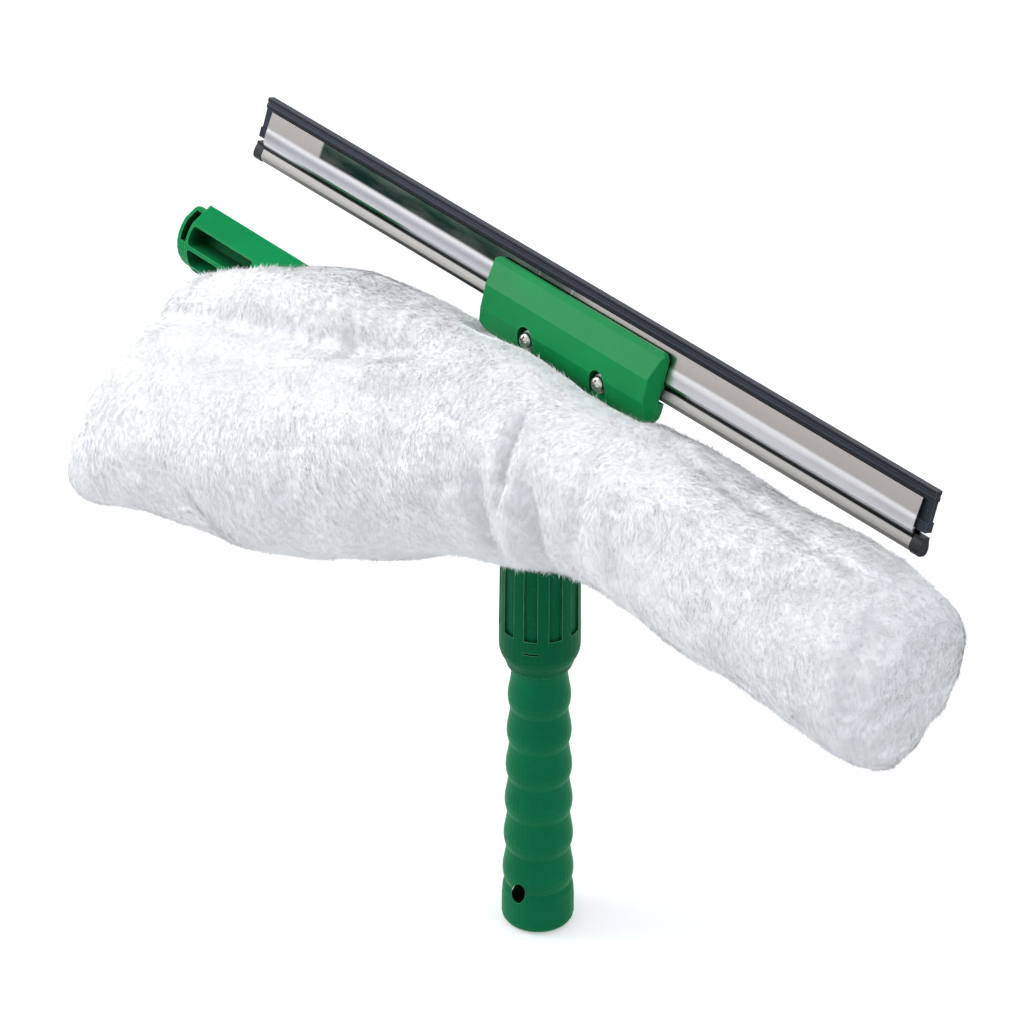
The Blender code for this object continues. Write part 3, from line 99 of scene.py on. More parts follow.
class Nodes:
    """A material's nodes, laid out round one Principled shader."""

    def __init__(self, name: str) -> None:
        """Starts a material of that name."""
        self.material = bpy.data.materials.new(name)
        self.material.use_nodes = True
        self.tree = self.material.node_tree
        self.shader = self.tree.nodes["Principled BSDF"]
        self.place = self.tree.nodes.new("ShaderNodeTexCoord").outputs["Object"]

    def link(self, source: bpy.types.NodeSocket, target: bpy.types.NodeSocket) -> None:
        """Joins two sockets."""
        self.tree.links.new(source, target)

    def noise(self, scale: float, detail: float = 3.0, stretch: Point = (1.0, 1.0, 1.0),
              rough: float = 0.55, turn: Point = (0.0, 0.0, 0.0)) -> bpy.types.NodeSocket:
        """Adds a noise in the object's own coordinates.

        Args:
            scale: Waves per metre.
            detail: Octaves of the noise.
            stretch: Factor on the scale along each axis.
            rough: Share of the finer octaves.
            turn: Turn of the pattern, in radians.

        Returns:
            The noise's value, about 0.5 on average.
        """
        mapping = self.tree.nodes.new("ShaderNodeMapping")
        mapping.inputs["Scale"].default_value = stretch
        mapping.inputs["Rotation"].default_value = turn
        self.link(self.place, mapping.inputs["Vector"])
        node = self.tree.nodes.new("ShaderNodeTexNoise")
        node.inputs["Scale"].default_value = scale
        node.inputs["Detail"].default_value = detail
        node.inputs["Roughness"].default_value = rough
        self.link(mapping.outputs["Vector"], node.inputs["Vector"])
        return node.outputs["Fac"]

    def spread(self, value: bpy.types.NodeSocket, low: float, high: float,
               start: float = 0.0, end: float = 1.0) -> bpy.types.NodeSocket:
        """Maps a value from one range to another and clamps it.

        Args:
            value: The value to map.
            low: Start of the range that it comes from.
            high: End of the range that it comes from.
            start: Result at the low value.
            end: Result at the high value.

        Returns:
            The mapped value.
        """
        node = self.tree.nodes.new("ShaderNodeMapRange")
        node.inputs["From Min"].default_value = low
        node.inputs["From Max"].default_value = high
        node.inputs["To Min"].default_value = start
        node.inputs["To Max"].default_value = end
        self.link(value, node.inputs["Value"])
        return node.outputs["Result"]

    def maths(self, kind: str, first: object, second: object) -> bpy.types.NodeSocket:
        """Adds a Math node of two numbers or sockets and gives its result."""
        return maths_node(self.tree, kind, first, second)

    def mix(self, factor: bpy.types.NodeSocket, first: object, second: object) -> bpy.types.NodeSocket:
        """Mixes two colours, each a colour or a socket; factor is the share of the second."""
        node = self.tree.nodes.new("ShaderNodeMix")
        node.data_type = "RGBA"
        self.link(factor, node.inputs["Factor"])
        for socket, value in ((node.inputs[6], first), (node.inputs[7], second)):
            if isinstance(value, tuple):
                socket.default_value = (*value, 1.0)
            else:
                self.link(value, socket)
        return node.outputs[2]

    def edges(self, radius: float, low: float = 0.005, high: float = 0.12) -> bpy.types.NodeSocket:
        """Finds sharp edges, where a softened normal leaves the true one.

        Args:
            radius: Width of the softened edge, in metres.
            low: Difference at which an edge starts.
            high: Difference at which it is full.

        Returns:
            0 on flats and 1 on edges.
        """
        soft = self.tree.nodes.new("ShaderNodeBevel")
        soft.samples = 6
        soft.inputs["Radius"].default_value = radius
        true = self.tree.nodes.new("ShaderNodeNewGeometry")
        dot = self.tree.nodes.new("ShaderNodeVectorMath")
        dot.operation = "DOT_PRODUCT"
        self.link(soft.outputs["Normal"], dot.inputs[0])
        self.link(true.outputs["Normal"], dot.inputs[1])
        return self.spread(self.maths("SUBTRACT", 1.0, dot.outputs["Value"]), low, high)

    def recess(self, distance: float, low: float, high: float) -> bpy.types.NodeSocket:
        """Finds recesses of the object's own shape: 1 deep in them and 0 on open faces.

        Args:
            distance: How far away walls still count, in metres.
            low: Openness at which a recess is full.
            high: Openness at which it ends.
        """
        node = self.tree.nodes.new("ShaderNodeAmbientOcclusion")
        node.samples = 6
        node.only_local = True
        node.inputs["Distance"].default_value = distance
        return self.spread(node.outputs["AO"], low, high, 1.0, 0.0)

    def stripe(self, value: bpy.types.NodeSocket, middle: float, half: float,
               soft: float) -> bpy.types.NodeSocket:
        """Marks a stripe of a value: 1 in it and 0 outside it.

        Args:
            value: The value.
            middle: Middle of the stripe.
            half: Half its full width.
            soft: Width of its soft edge.
        """
        away = self.maths("ABSOLUTE", self.maths("SUBTRACT", value, middle), 0.0)
        return self.spread(away, half, half + soft, 1.0, 0.0)

    def rise(self) -> bpy.types.NodeSocket:
        """Height up the blade's face, in metres."""
        up = self.tree.nodes.new("ShaderNodeVectorMath")
        up.operation = "SUBTRACT"
        up.inputs[1].default_value = BLADE_ORIGIN
        self.link(self.place, up.inputs[0])
        dot = self.tree.nodes.new("ShaderNodeVectorMath")
        dot.operation = "DOT_PRODUCT"
        dot.inputs[1].default_value = BLADE_RISE
        self.link(up.outputs["Vector"], dot.inputs[0])
        return dot.outputs["Value"]

    def axis(self, name: str) -> bpy.types.NodeSocket:
        """One axis of the object's coordinates, X, Y or Z."""
        node = self.tree.nodes.new("ShaderNodeSeparateXYZ")
        self.link(self.place, node.inputs["Vector"])
        return node.outputs[name]

    def bump(self, height: bpy.types.NodeSocket, strength: float, distance: float) -> None:
        """Sends a height to the shader's normal.

        Args:
            height: The height, 0 to 1.
            strength: Strength of the bump.
            distance: Height of a full step, in metres.
        """
        node = self.tree.nodes.new("ShaderNodeBump")
        node.inputs["Strength"].default_value = strength
        node.inputs["Distance"].default_value = distance
        self.link(height, node.inputs["Height"])
        self.link(node.outputs["Normal"], self.shader.inputs["Normal"])

    def colour(self, socket: bpy.types.NodeSocket) -> None:
        """Sends a colour to the shader."""
        self.link(socket, self.shader.inputs["Base Color"])

    def roughness(self, socket: bpy.types.NodeSocket) -> None:
        """Sends a roughness to the shader."""
        self.link(socket, self.shader.inputs["Roughness"])


@dataclass(frozen=True)
class MouldedPlastic:
    """Green moulded plastic with a fine grain, paler rubbed edges, faint scratches and painted shade in its
    recesses.

    Below shaded_low_top it takes shaded_low_colour, a painted shade, and rim is how pale it turns where it
    curves away.
    """

    name: str
    colour: Colour
    edge: Colour
    roughness: float = 0.36
    gloss: float = 0.30
    edge_width: float = 0.0004
    scratches: float = 0.25
    shaded_low_colour: Colour | None = None
    shaded_low_top: float = 0.0
    rim: float = 0.0
    rim_colour: Colour = linear(110, 215, 130)
    rim_roughness: float = 0.42

    def make(self) -> bpy.types.Material:
        """Builds the material."""
        n = Nodes(self.name)
        cloud = n.noise(45.0, 3.0)
        deep = tuple(c * 0.80 for c in self.colour)
        flecks = n.spread(n.noise(900.0, 2.0), 0.62, 0.80)
        body = n.mix(n.spread(cloud, 0.30, 0.72), deep, self.colour)
        # Painted shade: below shaded_low_top the moulding takes the darker shaded_low_colour.
        if self.shaded_low_colour is not None:
            body = n.mix(n.spread(n.axis("Z"), self.shaded_low_top - 0.01, self.shaded_low_top), self.shaded_low_colour, body)
        pale = tuple(min(1.0, c * 1.25 + 0.01) for c in self.colour)
        body = n.mix(n.maths("MULTIPLY", flecks, 0.35), body, pale)
        thin = n.spread(n.noise(260.0, 2.0, (0.06, 1.0, 1.0), turn=(0.2, 0.5, 0.35)), 0.69, 0.72)
        sparse = n.spread(n.noise(60.0, 1.0), 0.55, 0.62)
        scratch = n.maths("MULTIPLY", n.maths("MULTIPLY", thin, sparse), self.scratches)
        patchy = n.spread(n.noise(180.0, 2.0), 0.25, 0.7, 0.25, 0.85)
        worn = n.maths("MULTIPLY", n.edges(self.edge_width), patchy)
        body = n.mix(n.maths("MAXIMUM", worn, scratch), body, self.edge)
        # Painted shade: deep in the moulding's own recesses the colour turns near black, where shade falls.
        shade = tuple(c * 0.08 for c in self.colour)
        n.colour(n.mix(n.maths("MULTIPLY", n.recess(0.012, 0.32, 0.80), 0.94), body, shade))
        n.roughness(n.maths("ADD", n.spread(cloud, 0.2, 0.8, self.roughness - 0.05, self.roughness + 0.06),
                            n.maths("MULTIPLY", scratch, 0.3)))
        n.shader.inputs["Specular IOR Level"].default_value = self.gloss
        n.shader.inputs["Sheen Weight"].default_value = self.rim
        n.shader.inputs["Sheen Roughness"].default_value = self.rim_roughness
        n.shader.inputs["Sheen Tint"].default_value = (*self.rim_colour, 1.0)
        grain = n.maths("ADD", n.maths("MULTIPLY", n.noise(1500.0, 2.0), 0.5), n.noise(160.0, 2.0))
        n.bump(grain, 0.10, 0.0004)
        return n.material


@dataclass(frozen=True)
class RolledSteel:
    """Bright rolled stainless sheet: bands along its folds with painted reflections and shade, fine streaks
    and a dark painted reflection.
    """

    name: str = "rolled_stainless"
    # Painted reflection: upper and lower are one steel, coloured with the light that each cheek reflects.
    upper: Colour = linear(170, 165, 163)
    lower: Colour = linear(188, 188, 195)
    right_lower_highlight: Colour = linear(212, 211, 215)
    fold: Colour = linear(222, 223, 227)
    spine: Colour = linear(154, 152, 150)
    spine_underside_shade: Colour = linear(128, 126, 121)
    groove: Colour = linear(14, 17, 18)
    foot: Colour = linear(96, 101, 101)
    low_highlight: Colour = linear(214, 214, 217)
    cloud: Colour = linear(172, 169, 168)
    streak: Colour = (0.16, 0.16, 0.16)
    scratch: Colour = (0.75, 0.75, 0.74)
    # mirrored and painted_reflection_high are painted reflections: dark green mirror images of the green parts
    # in the steel.
    mirrored: Colour = linear(5, 36, 31)
    painted_reflection_high: Colour = linear(44, 68, 58)
    roughness: float = 0.20
    spine_roughness: float = 0.52

    def bands(self, n: Nodes, rise: bpy.types.NodeSocket,
              level: bpy.types.NodeSocket) -> bpy.types.NodeSocket:
        """Colour of the bands from the spine up to the lip, with their reflections, highlights and shade
        painted in.

        Args:
            n: The material's nodes.
            rise: Height up the face.
            level: The same height with a slow wander.
        """
        # Painted highlight: the lower band turns paler toward the right, as right_lower_highlight.
        lower = n.mix(n.spread(n.axis("X"), -0.040, 0.060), self.lower, self.right_lower_highlight)
        # Painted reflection: the upper band is darker than the lower.
        band = n.mix(n.spread(level, 0.0130, 0.0140), lower, self.upper)
        cloudy = n.spread(n.noise(14.0, 2.0, (1.0, 0.3, 0.3)), 0.42, 0.62, 0.0, 0.6)
        band = n.mix(cloudy, band, self.cloud)
        # Painted highlight: a pale line, in the fold colour, at the top of the lower band.
        band = n.mix(n.stripe(level, 0.0126, 0.0003, 0.0008), band, self.fold)
        # Painted highlight: a pale line low on the lower band.
        band = n.mix(n.stripe(level, 0.0081, 0.0004, 0.0016), band, self.low_highlight)
        # Painted reflection: below the lower band the sheet takes the dark foot colour.
        band = n.mix(n.spread(rise, 0.0066, 0.0072), self.foot, band)
        # Painted shade: a black line in the groove above the spine.
        band = n.mix(n.stripe(rise, 0.0057, 0.0006, 0.0003), band, self.groove)
        # Painted shade: the spine darkens toward its underside.
        spine = n.mix(n.spread(rise, 0.0004, 0.0030), self.spine_underside_shade, self.spine)
        return n.mix(n.spread(rise, 0.0046, 0.0052), spine, band)

    def make(self) -> bpy.types.Material:
        """Builds the material."""
        n = Nodes(self.name)
        rise, along = n.rise(), n.axis("X")
        wander = n.maths("MULTIPLY", n.maths("SUBTRACT", n.noise(9.0, 2.0, (1.0, 0.2, 0.2)), 0.5), 0.0016)
        level = n.maths("ADD", rise, wander)
        band = self.bands(n, rise, level)
        # Painted reflection: left of the clamp the upper band is painted dark green, mottled and paler toward
        # the lip.
        patch = n.maths("MULTIPLY", n.spread(along, -0.1480, -0.1468), n.spread(along, 0.0040, -0.0140))
        patch = n.maths("MULTIPLY", patch, n.spread(level, 0.0133, 0.0141))
        mottled = n.spread(n.noise(70.0, 3.0, (0.5, 2.0, 2.0)), 0.30, 0.62, 0.80, 1.0)
        dark = n.mix(n.spread(rise, 0.0165, 0.0196), self.mirrored, self.painted_reflection_high)
        band = n.mix(n.maths("MULTIPLY", patch, mottled), band, dark)
        # Painted reflection: a dark green line low on the spine, left of the clamp, in the mirrored colour.
        under = n.maths("MULTIPLY", n.spread(along, -0.165, -0.060), n.spread(along, -0.020, -0.040))
        under = n.maths("MULTIPLY", under, n.stripe(rise, 0.0012, 0.0004, 0.0008))
        band = n.mix(under, band, self.mirrored)
        streak = n.noise(60.0, 4.0, (0.03, 18.0, 18.0), 0.65)
        dim = n.mix(n.spread(streak, 0.40, 0.75, 0.0, 0.10), band, self.streak)
        marks = n.spread(n.noise(420.0, 2.0, (1.0, 0.05, 0.05), turn=(0.0, 0.35, 0.5)), 0.70, 0.73)
        near_clamp = n.maths("MULTIPLY", n.spread(along, -0.045, -0.020), n.spread(along, 0.050, 0.030))
        marks = n.maths("MULTIPLY", n.maths("MULTIPLY", marks, near_clamp), n.spread(rise, 0.0150, 0.0165))
        n.colour(n.mix(n.maths("MULTIPLY", marks, 0.35), dim, self.scratch))
        n.shader.inputs["Metallic"].default_value = 1.0
        n.shader.inputs["Anisotropic"].default_value = 0.3
        rougher = n.spread(rise, 0.0052, 0.0046, 0.0, self.spine_roughness - self.roughness)
        streaky = n.spread(streak, 0.3, 0.7, self.roughness - 0.03, self.roughness + 0.04)
        n.roughness(n.maths("ADD", streaky, rougher))
        n.bump(streak, 0.02, 0.0002)
        return n.material


@dataclass(frozen=True)
class ZincPlate:
    """Bright zinc-plated steel of the screws, washers and nuts, a little blotched."""

    name: str = "bright_zinc"
    bright: Colour = (0.70, 0.69, 0.67)
    dull: Colour = (0.36, 0.35, 0.33)

    def make(self) -> bpy.types.Material:
        """Builds the material."""
        n = Nodes(self.name)
        blotch = n.noise(700.0, 3.0)
        n.colour(n.mix(n.spread(blotch, 0.38, 0.68), self.bright, self.dull))
        n.shader.inputs["Metallic"].default_value = 1.0
        n.roughness(n.spread(blotch, 0.3, 0.7, 0.18, 0.38))
        n.bump(n.noise(2600.0, 2.0), 0.08, 0.0001)
        return n.material


@dataclass(frozen=True)
class DarkPolymer:
    """Dark rubber or plastic: a faint bloom, fine grain and paler edges.

    Lines are black stripes along the blade, each a height up its face and half a width.
    """

    name: str
    colour: Colour
    bloom: Colour
    edge: Colour
    roughness: float = 0.5
    gloss: float = 0.20
    along: float = 0.08
    lines: tuple[tuple[float, float], ...] = ()
    line_colour: Colour = linear(10, 15, 18)

    def make(self) -> bpy.types.Material:
        """Builds the material."""
        n = Nodes(self.name)
        bloom = n.noise(120.0, 4.0, (self.along, 1.0, 1.0))
        body = n.mix(n.spread(bloom, 0.40, 0.75), self.colour, self.bloom)
        for middle, half in self.lines:
            body = n.mix(n.stripe(n.rise(), middle, half, 0.0002), body, self.line_colour)
        n.colour(n.mix(n.maths("MULTIPLY", n.edges(0.00025), 0.6), body, self.edge))
        n.shader.inputs["Specular IOR Level"].default_value = self.gloss
        n.roughness(n.spread(bloom, 0.3, 0.7, self.roughness - 0.08, self.roughness + 0.08))
        n.bump(n.noise(2200.0, 2.0), 0.08, 0.0002)
        return n.material


@dataclass(frozen=True)
class FleecePile:
    """White pile of the sleeve: painted shade, darker and cooler, at the roots, near white at the tips, with
    slow changes of tone.
    """

    name: str = "fleece_pile"
    tip: Colour = (0.980, 0.983, 0.987)
    # root is a painted shade: toward the roots and on the skin the pile is darker and cooler, for the shade
    # deep in the pile.
    root: Colour = (0.910, 0.922, 0.942)

    def make(self) -> bpy.types.Material:
        """Builds the material."""
        n = Nodes(self.name)
        height = n.tree.nodes.new("ShaderNodeAttribute")
        height.attribute_name = "reach"
        slow = n.spread(n.noise(26.0, 3.0), 0.3, 0.7, -0.12, 0.10)
        mixed = n.maths("ADD", height.outputs["Fac"], slow)
        n.colour(n.mix(n.spread(mixed, 0.0, 1.0), self.root, self.tip))
        n.shader.inputs["Roughness"].default_value = 0.95
        n.shader.inputs["Specular IOR Level"].default_value = 0.15
        n.shader.inputs["Sheen Weight"].default_value = 0.12
        n.shader.inputs["Sheen Roughness"].default_value = 0.5
        n.bump(n.noise(900.0, 2.0), 0.06, 0.0002)
        return n.material


def deselect() -> None:
    """Leaves edit mode if need be and deselects everything."""
    if bpy.context.mode != "OBJECT":
        bpy.ops.object.mode_set(mode="OBJECT")
    bpy.ops.object.select_all(action="DESELECT")


def activate(obj: bpy.types.Object) -> None:
    """Makes one object the only selected and active one."""
    deselect()
    obj.select_set(True)
    bpy.context.view_layer.objects.active = obj


def mesh_object(name: str, points: np.ndarray, faces: list[tuple[int, ...]]) -> bpy.types.Object:
    """Makes an object from points and faces.

    Args:
        name: Name of the object and its mesh.
        points: The points, one row each.
        faces: Indices of each face's points.

    Returns:
        The object, linked to the scene.
    """
    mesh = bpy.data.meshes.new(name)
    mesh.from_pydata([tuple(p) for p in points], [], faces)
    mesh.validate()
    obj = bpy.data.objects.new(name, mesh)
    bpy.context.scene.collection.objects.link(obj)
    return obj


def apply_modifier(obj: bpy.types.Object, name: str) -> None:
    """Applies one of an object's modifiers."""
    activate(obj)
    bpy.ops.object.modifier_apply(modifier=name)


def points_of(mesh: bpy.types.Mesh) -> np.ndarray:
    """A mesh's points, one row each."""
    flat = np.empty(len(mesh.vertices) * 3)
    mesh.vertices.foreach_get("co", flat)
    return flat.reshape(-1, 3)


def set_points(mesh: bpy.types.Mesh, points: np.ndarray) -> None:
    """Moves a mesh's points to new places."""
    mesh.vertices.foreach_set("co", points.ravel())
    mesh.update()


def normals_of(mesh: bpy.types.Mesh) -> np.ndarray:
    """A mesh's point normals, one row each."""
    flat = np.empty(len(mesh.vertices) * 3)
    mesh.vertex_normals.foreach_get("vector", flat)
    return flat.reshape(-1, 3)


@dataclass(frozen=True)
class Fold:
    """A valley or crest in the sleeve, along a line on its surface.

    Points are places along the bar and up the section, in metres. Depth is how far the surface goes in, below
    zero for a crest, and width is how far to each side it fades.
    """

    points: tuple[tuple[float, float], ...]
    depth: float
    width: float
    front: bool = True

    def depth_at(self, x: np.ndarray, up: np.ndarray) -> np.ndarray:
        """How far the surface goes in at some places.

        Args:
            x: Places along the bar.
            up: Places up the section.

        Returns:
            The depth at each place, in metres.
        """
        best = np.full(x.shape, 1e9)
        ends = np.zeros(x.shape)
        count = len(self.points) - 1
        for i in range(count):
            a, b = np.array(self.points[i]), np.array(self.points[i + 1])
            along = b - a
            share = np.clip(((x - a[0]) * along[0] + (up - a[1]) * along[1]) / along.dot(along), 0.0, 1.0)
            away = np.hypot(x - a[0] - share * along[0], up - a[1] - share * along[1])
            nearer = away < best
            best = np.where(nearer, away, best)
            ends = np.where(nearer, (i + share) / count, ends)
        fade = np.clip(np.minimum(ends, 1.0 - ends) * 4.0 + 0.25, 0.0, 1.0)
        return self.depth * fade * np.exp(-((best / self.width) ** 2))


@dataclass
class WashingSleeve:
    """Fleece washing sleeve: a skin swollen by cloth simulation, folded, and covered with bent tufts."""

    height: float = 0.2056
    lean: float = math.radians(46.0)
    pile: float = 0.0018
    right_end: float = 0.1990
    left_end: float = -0.1830
    stations: tuple[tuple[float, float, float, float, float], ...] = (
        # Place along the bar, reach above its axis, reach below it, half thickness, shift forward.
        (0.1990, 0.0275, 0.0372, 0.0235, 0.0000),
        (0.1850, 0.0300, 0.0372, 0.0290, 0.0000),
        (0.1600, 0.0315, 0.0372, 0.0335, 0.0000),
        (0.1000, 0.0312, 0.0382, 0.0338, 0.0000),
        (0.0600, 0.0308, 0.0390, 0.0338, 0.0000),
        (0.0300, 0.0310, 0.0405, 0.0335, 0.0000),
        (0.0100, 0.0315, 0.0500, 0.0330, 0.0000),
        (-0.0150, 0.0315, 0.0580, 0.0330, 0.0000),
        (-0.0400, 0.0300, 0.0735, 0.0335, 0.0000),
        (-0.0700, 0.0280, 0.0860, 0.0340, 0.0000),
        (-0.1000, 0.0250, 0.0945, 0.0335, 0.0010),
        (-0.1200, 0.0185, 0.0995, 0.0320, 0.0040),
        (-0.1400, 0.0085, 0.1040, 0.0290, 0.0070),
        (-0.1600, -0.0010, 0.1090, 0.0255, 0.0060),
        (-0.1740, -0.0080, 0.1120, 0.0225, 0.0025),
        (-0.1830, -0.0140, 0.1130, 0.0200, 0.0000),
    )
    folds: tuple[Fold, ...] = (
        Fold(((0.0140, 0.005), (0.0180, -0.009), (0.0240, -0.028)), 0.0070, 0.0026),
        Fold(((0.022, -0.020), (0.028, -0.032), (0.029, -0.046)), -0.0040, 0.0060),
        Fold(((0.0316, -0.0150), (0.0380, -0.0260), (0.0400, -0.0420)), 0.0070, 0.0036),
        Fold(((0.0100, -0.0200), (0.0140, -0.0350), (0.0170, -0.0500)), 0.0065, 0.0040),
        Fold(((-0.012, -0.010), (-0.012, -0.034), (-0.020, -0.056)), -0.0030, 0.0090),
        Fold(((0.052, 0.010), (0.058, -0.010), (0.060, -0.030)), 0.0030, 0.0050),
        Fold(((0.072, -0.002), (0.076, -0.016), (0.084, -0.034)), 0.0022, 0.0050),
        Fold(((-0.186, -0.040), (-0.131, -0.026), (-0.093, -0.014), (-0.062, -0.001), (-0.040, 0.010)),
             0.0055, 0.0070),
        Fold(((-0.190, -0.052), (-0.131, -0.038), (-0.093, -0.027), (-0.055, -0.014), (-0.020, 0.006)),
             -0.0032, 0.0075),
        Fold(((-0.080, -0.010), (-0.058, -0.001)), 0.0050, 0.0110),
        Fold(((-0.150, -0.012), (-0.105, 0.002), (-0.070, 0.014)), -0.0030, 0.0075),
        Fold(((-0.150, -0.058), (-0.120, -0.085), (-0.100, -0.108)), 0.0040, 0.0100),
        Fold(((-0.095, -0.106), (-0.080, -0.096)), 0.0045, 0.0080),
        Fold(((-0.075, -0.040), (-0.060, -0.065), (-0.055, -0.090)), 0.0024, 0.0100),
        Fold(((0.055, 0.021), (0.100, 0.020), (0.150, 0.018), (0.185, 0.014)), 0.0014, 0.0026),
        Fold(((0.196, -0.030), (0.186, -0.012), (0.188, 0.010)), 0.0026, 0.0060),
        Fold(((-0.120, -0.060), (-0.080, -0.045), (-0.040, -0.030)), 0.0040, 0.0110, False),
        Fold(((0.030, 0.012), (0.050, -0.015), (0.046, -0.032)), 0.0035, 0.0070, False),
        Fold(((0.110, 0.020), (0.125, -0.004), (0.120, -0.026)), 0.0025, 0.0070, False),
    )
    around: int = 48
    rings: int = 60
    end_rings: int = 4
    corner: float = 2.35
    rounding: float = 0.008
    bar_room: tuple[float, float] = (0.0162, 0.3850)
    hub_room: tuple[float, float, float] = (0.0158, 0.1260, 0.1590)
    # What the pile keeps out of: half width, front and foot of the clamp on the blade's frame, front and foot
    # of the channel, radius and half length of the bar, radius and top of the hub, and the bracket's shelf.
    clamp_reach: tuple[float, float, float] = (0.0470, 0.0112, -0.0118)
    channel_reach: tuple[float, float] = (0.0045, -0.0040)
    bar_reach: tuple[float, float] = (0.0158, 0.1925)
    hub_reach: tuple[float, float] = (0.0154, 0.2230)
    shelf_reach: tuple[float, float, float, float] = (0.0115, -0.0085, 0.2190, 0.2262)
    clearance: float = 0.0010
    foot_clearance: float = 0.0012
    voxel: float = 0.0050
    subdivision: int = 2
    pressure: float = 4.0
    most_swell: float = 0.0030
    jitter: float = 0.0004
    steps: int = 20
    tufts: int = 430_000
    tuft_shading: float = 0.16
    tuft_section: tuple[tuple[float, float], ...] = ((0.0, -0.35), (0.87, 0.12), (-0.87, 0.12))
    stray_share: float = 0.12
    tuft_length: tuple[float, float] = (0.0026, 0.0046)
    tuft_width: tuple[float, float] = (0.00010, 0.00017)
    tuft_lift: tuple[float, float] = (0.03, 0.13)
    stray_lift: tuple[float, float] = (0.30, 0.62)
    lock_pull: tuple[float, float] = (0.0, 0.28)
    tufts_per_lock: int = 16
    ruffle: float = 1.35
    downward: float = 3.2
    swirls: tuple[tuple[float, float], ...] = ((0.070, 0.55), (0.030, 0.45), (0.013, 0.20))
    waves_per_swirl: int = 5
    waves: tuple[tuple[float, float, int], ...] = (
        # Length of the waves, height, how many.
        (0.060, 0.0009, 7),
        (0.026, 0.0003, 9),
        (0.012, 0.00008, 11),
    )
    quick_tufts: int = 40_000
    sunk: float = 0.0003
    tuft_room: float = 0.0008
    skin_tone: float = 0.55
    tip_tone: float = 1.0
    tuft_tones: tuple[float, float] = (-0.35, 0.30)
    seed: int = 11

    def axes(self) -> tuple[np.ndarray, np.ndarray]:
        """Directions up the section and out of its front."""
        up = np.array((0.0, math.cos(self.lean), math.sin(self.lean)))
        front = np.array((0.0, -math.sin(self.lean), math.cos(self.lean)))
        return up, front

    def section(self, x: float) -> tuple[float, float, float, float]:
        """Reach above, reach below, half thickness and shift forward at one place along the bar."""
        table = np.array(sorted(self.stations))
        return tuple(float(np.interp(x, table[:, 0], table[:, i])) for i in range(1, 5))

    def places(self) -> list[tuple[float, float]]:
        """Places of the rings along the bar, each with how far its ring is drawn in."""
        angles = [math.pi / 2.0 * i / self.end_rings for i in range(self.end_rings + 1)]
        ends = [(self.rounding * (1.0 - math.cos(a)), self.rounding * (1.0 - math.sin(a))) for a in angles]
        right = [(self.right_end - self.pile - back, inset) for back, inset in ends]
        left = [(self.left_end + self.pile + back, inset) for back, inset in reversed(ends)]
        span = right[-1][0] - left[0][0]
        middle = [(right[-1][0] - span * i / self.rings, 0.0) for i in range(1, self.rings)]
        return right + middle + left

    def skin(self) -> bpy.types.Object:
        """Lofts the skin from its rings, a pile's height inside the fleece's outline."""
        up, front = self.axes()
        points, faces = [], []
        places = self.places()
        for x, inset in places:
            above, below, thick, forward = self.section(x)
            half = (above + below) / 2.0 - self.pile - inset
            middle = (above - below) / 2.0
            depth = thick - self.pile - inset
            centre = np.array((x, 0.0, self.height)) + up * middle + front * forward
            for i in range(self.around):
                angle = 2.0 * math.pi * i / self.around
                c, s = math.cos(angle), math.sin(angle)
                square = (abs(c) ** self.corner + abs(s) ** self.corner) ** (-1.0 / self.corner)
                points.append(centre + up * half * c * square + front * depth * s * square)
        n = self.around
        for ring in range(len(places) - 1):
            for i in range(n):
                j = (i + 1) % n
                faces.append((ring * n + i, ring * n + j, (ring + 1) * n + j, (ring + 1) * n + i))
        last = (len(places) - 1) * n
        faces.append(tuple(range(n - 1, -1, -1)))
        faces.append(tuple(last + i for i in range(n)))
        return mesh_object("scrubber_fleece", np.array(points), faces)

    def swell(self, obj: bpy.types.Object) -> None:
        """Remeshes the skin and swells it as cloth under a little pressure."""
        remesh = obj.modifiers.new("even", "REMESH")
        remesh.mode = "VOXEL"
        remesh.voxel_size = self.voxel
        apply_modifier(obj, "even")
        before = points_of(obj.data)
        rng = np.random.default_rng(self.seed)
        set_points(obj.data, before + rng.normal(0.0, self.jitter, before.shape))
        cloth = obj.modifiers.new("cloth", "CLOTH")
        settings = cloth.settings
        settings.quality = 6
        settings.mass = 0.3
        settings.tension_stiffness = 12.0
        settings.compression_stiffness = 12.0
        settings.bending_stiffness = 0.4
        settings.use_pressure = True
        settings.uniform_pressure_force = self.pressure
        settings.effector_weights.gravity = 0.0
        cloth.collision_settings.use_collision = False
        cloth.point_cache.frame_start = 1
        cloth.point_cache.frame_end = self.steps
        scene = bpy.context.scene
        for step in range(1, self.steps + 1):
            scene.frame_set(step)
        apply_modifier(obj, "cloth")
        scene.frame_set(1)
        after = points_of(obj.data)
        move = after - before
        length = np.linalg.norm(move, axis=1, keepdims=True)
        move *= np.minimum(1.0, self.most_swell / np.maximum(length, 1e-9))
        set_points(obj.data, before + move)

    def crease(self, obj: bpy.types.Object) -> None:
        """Presses the folds and a gentle unevenness into the skin."""
        smooth = obj.modifiers.new("soft", "SUBSURF")
        smooth.levels = smooth.render_levels = self.subdivision
        apply_modifier(obj, "soft")
        points, normals = points_of(obj.data), normals_of(obj.data)
        up_axis, front_axis = self.axes()
        local = points - np.array((0.0, 0.0, self.height))
        up = local @ up_axis
        facing = normals @ front_axis
        depth = np.zeros(len(points))
        for fold in self.folds:
            side = facing if fold.front else -facing
            depth += fold.depth_at(points[:, 0], up) * np.clip(side * 1.8 + 0.35, 0.0, 1.0)
        depth += self.unevenness(points)
        set_points(obj.data, points - normals * depth[:, None])

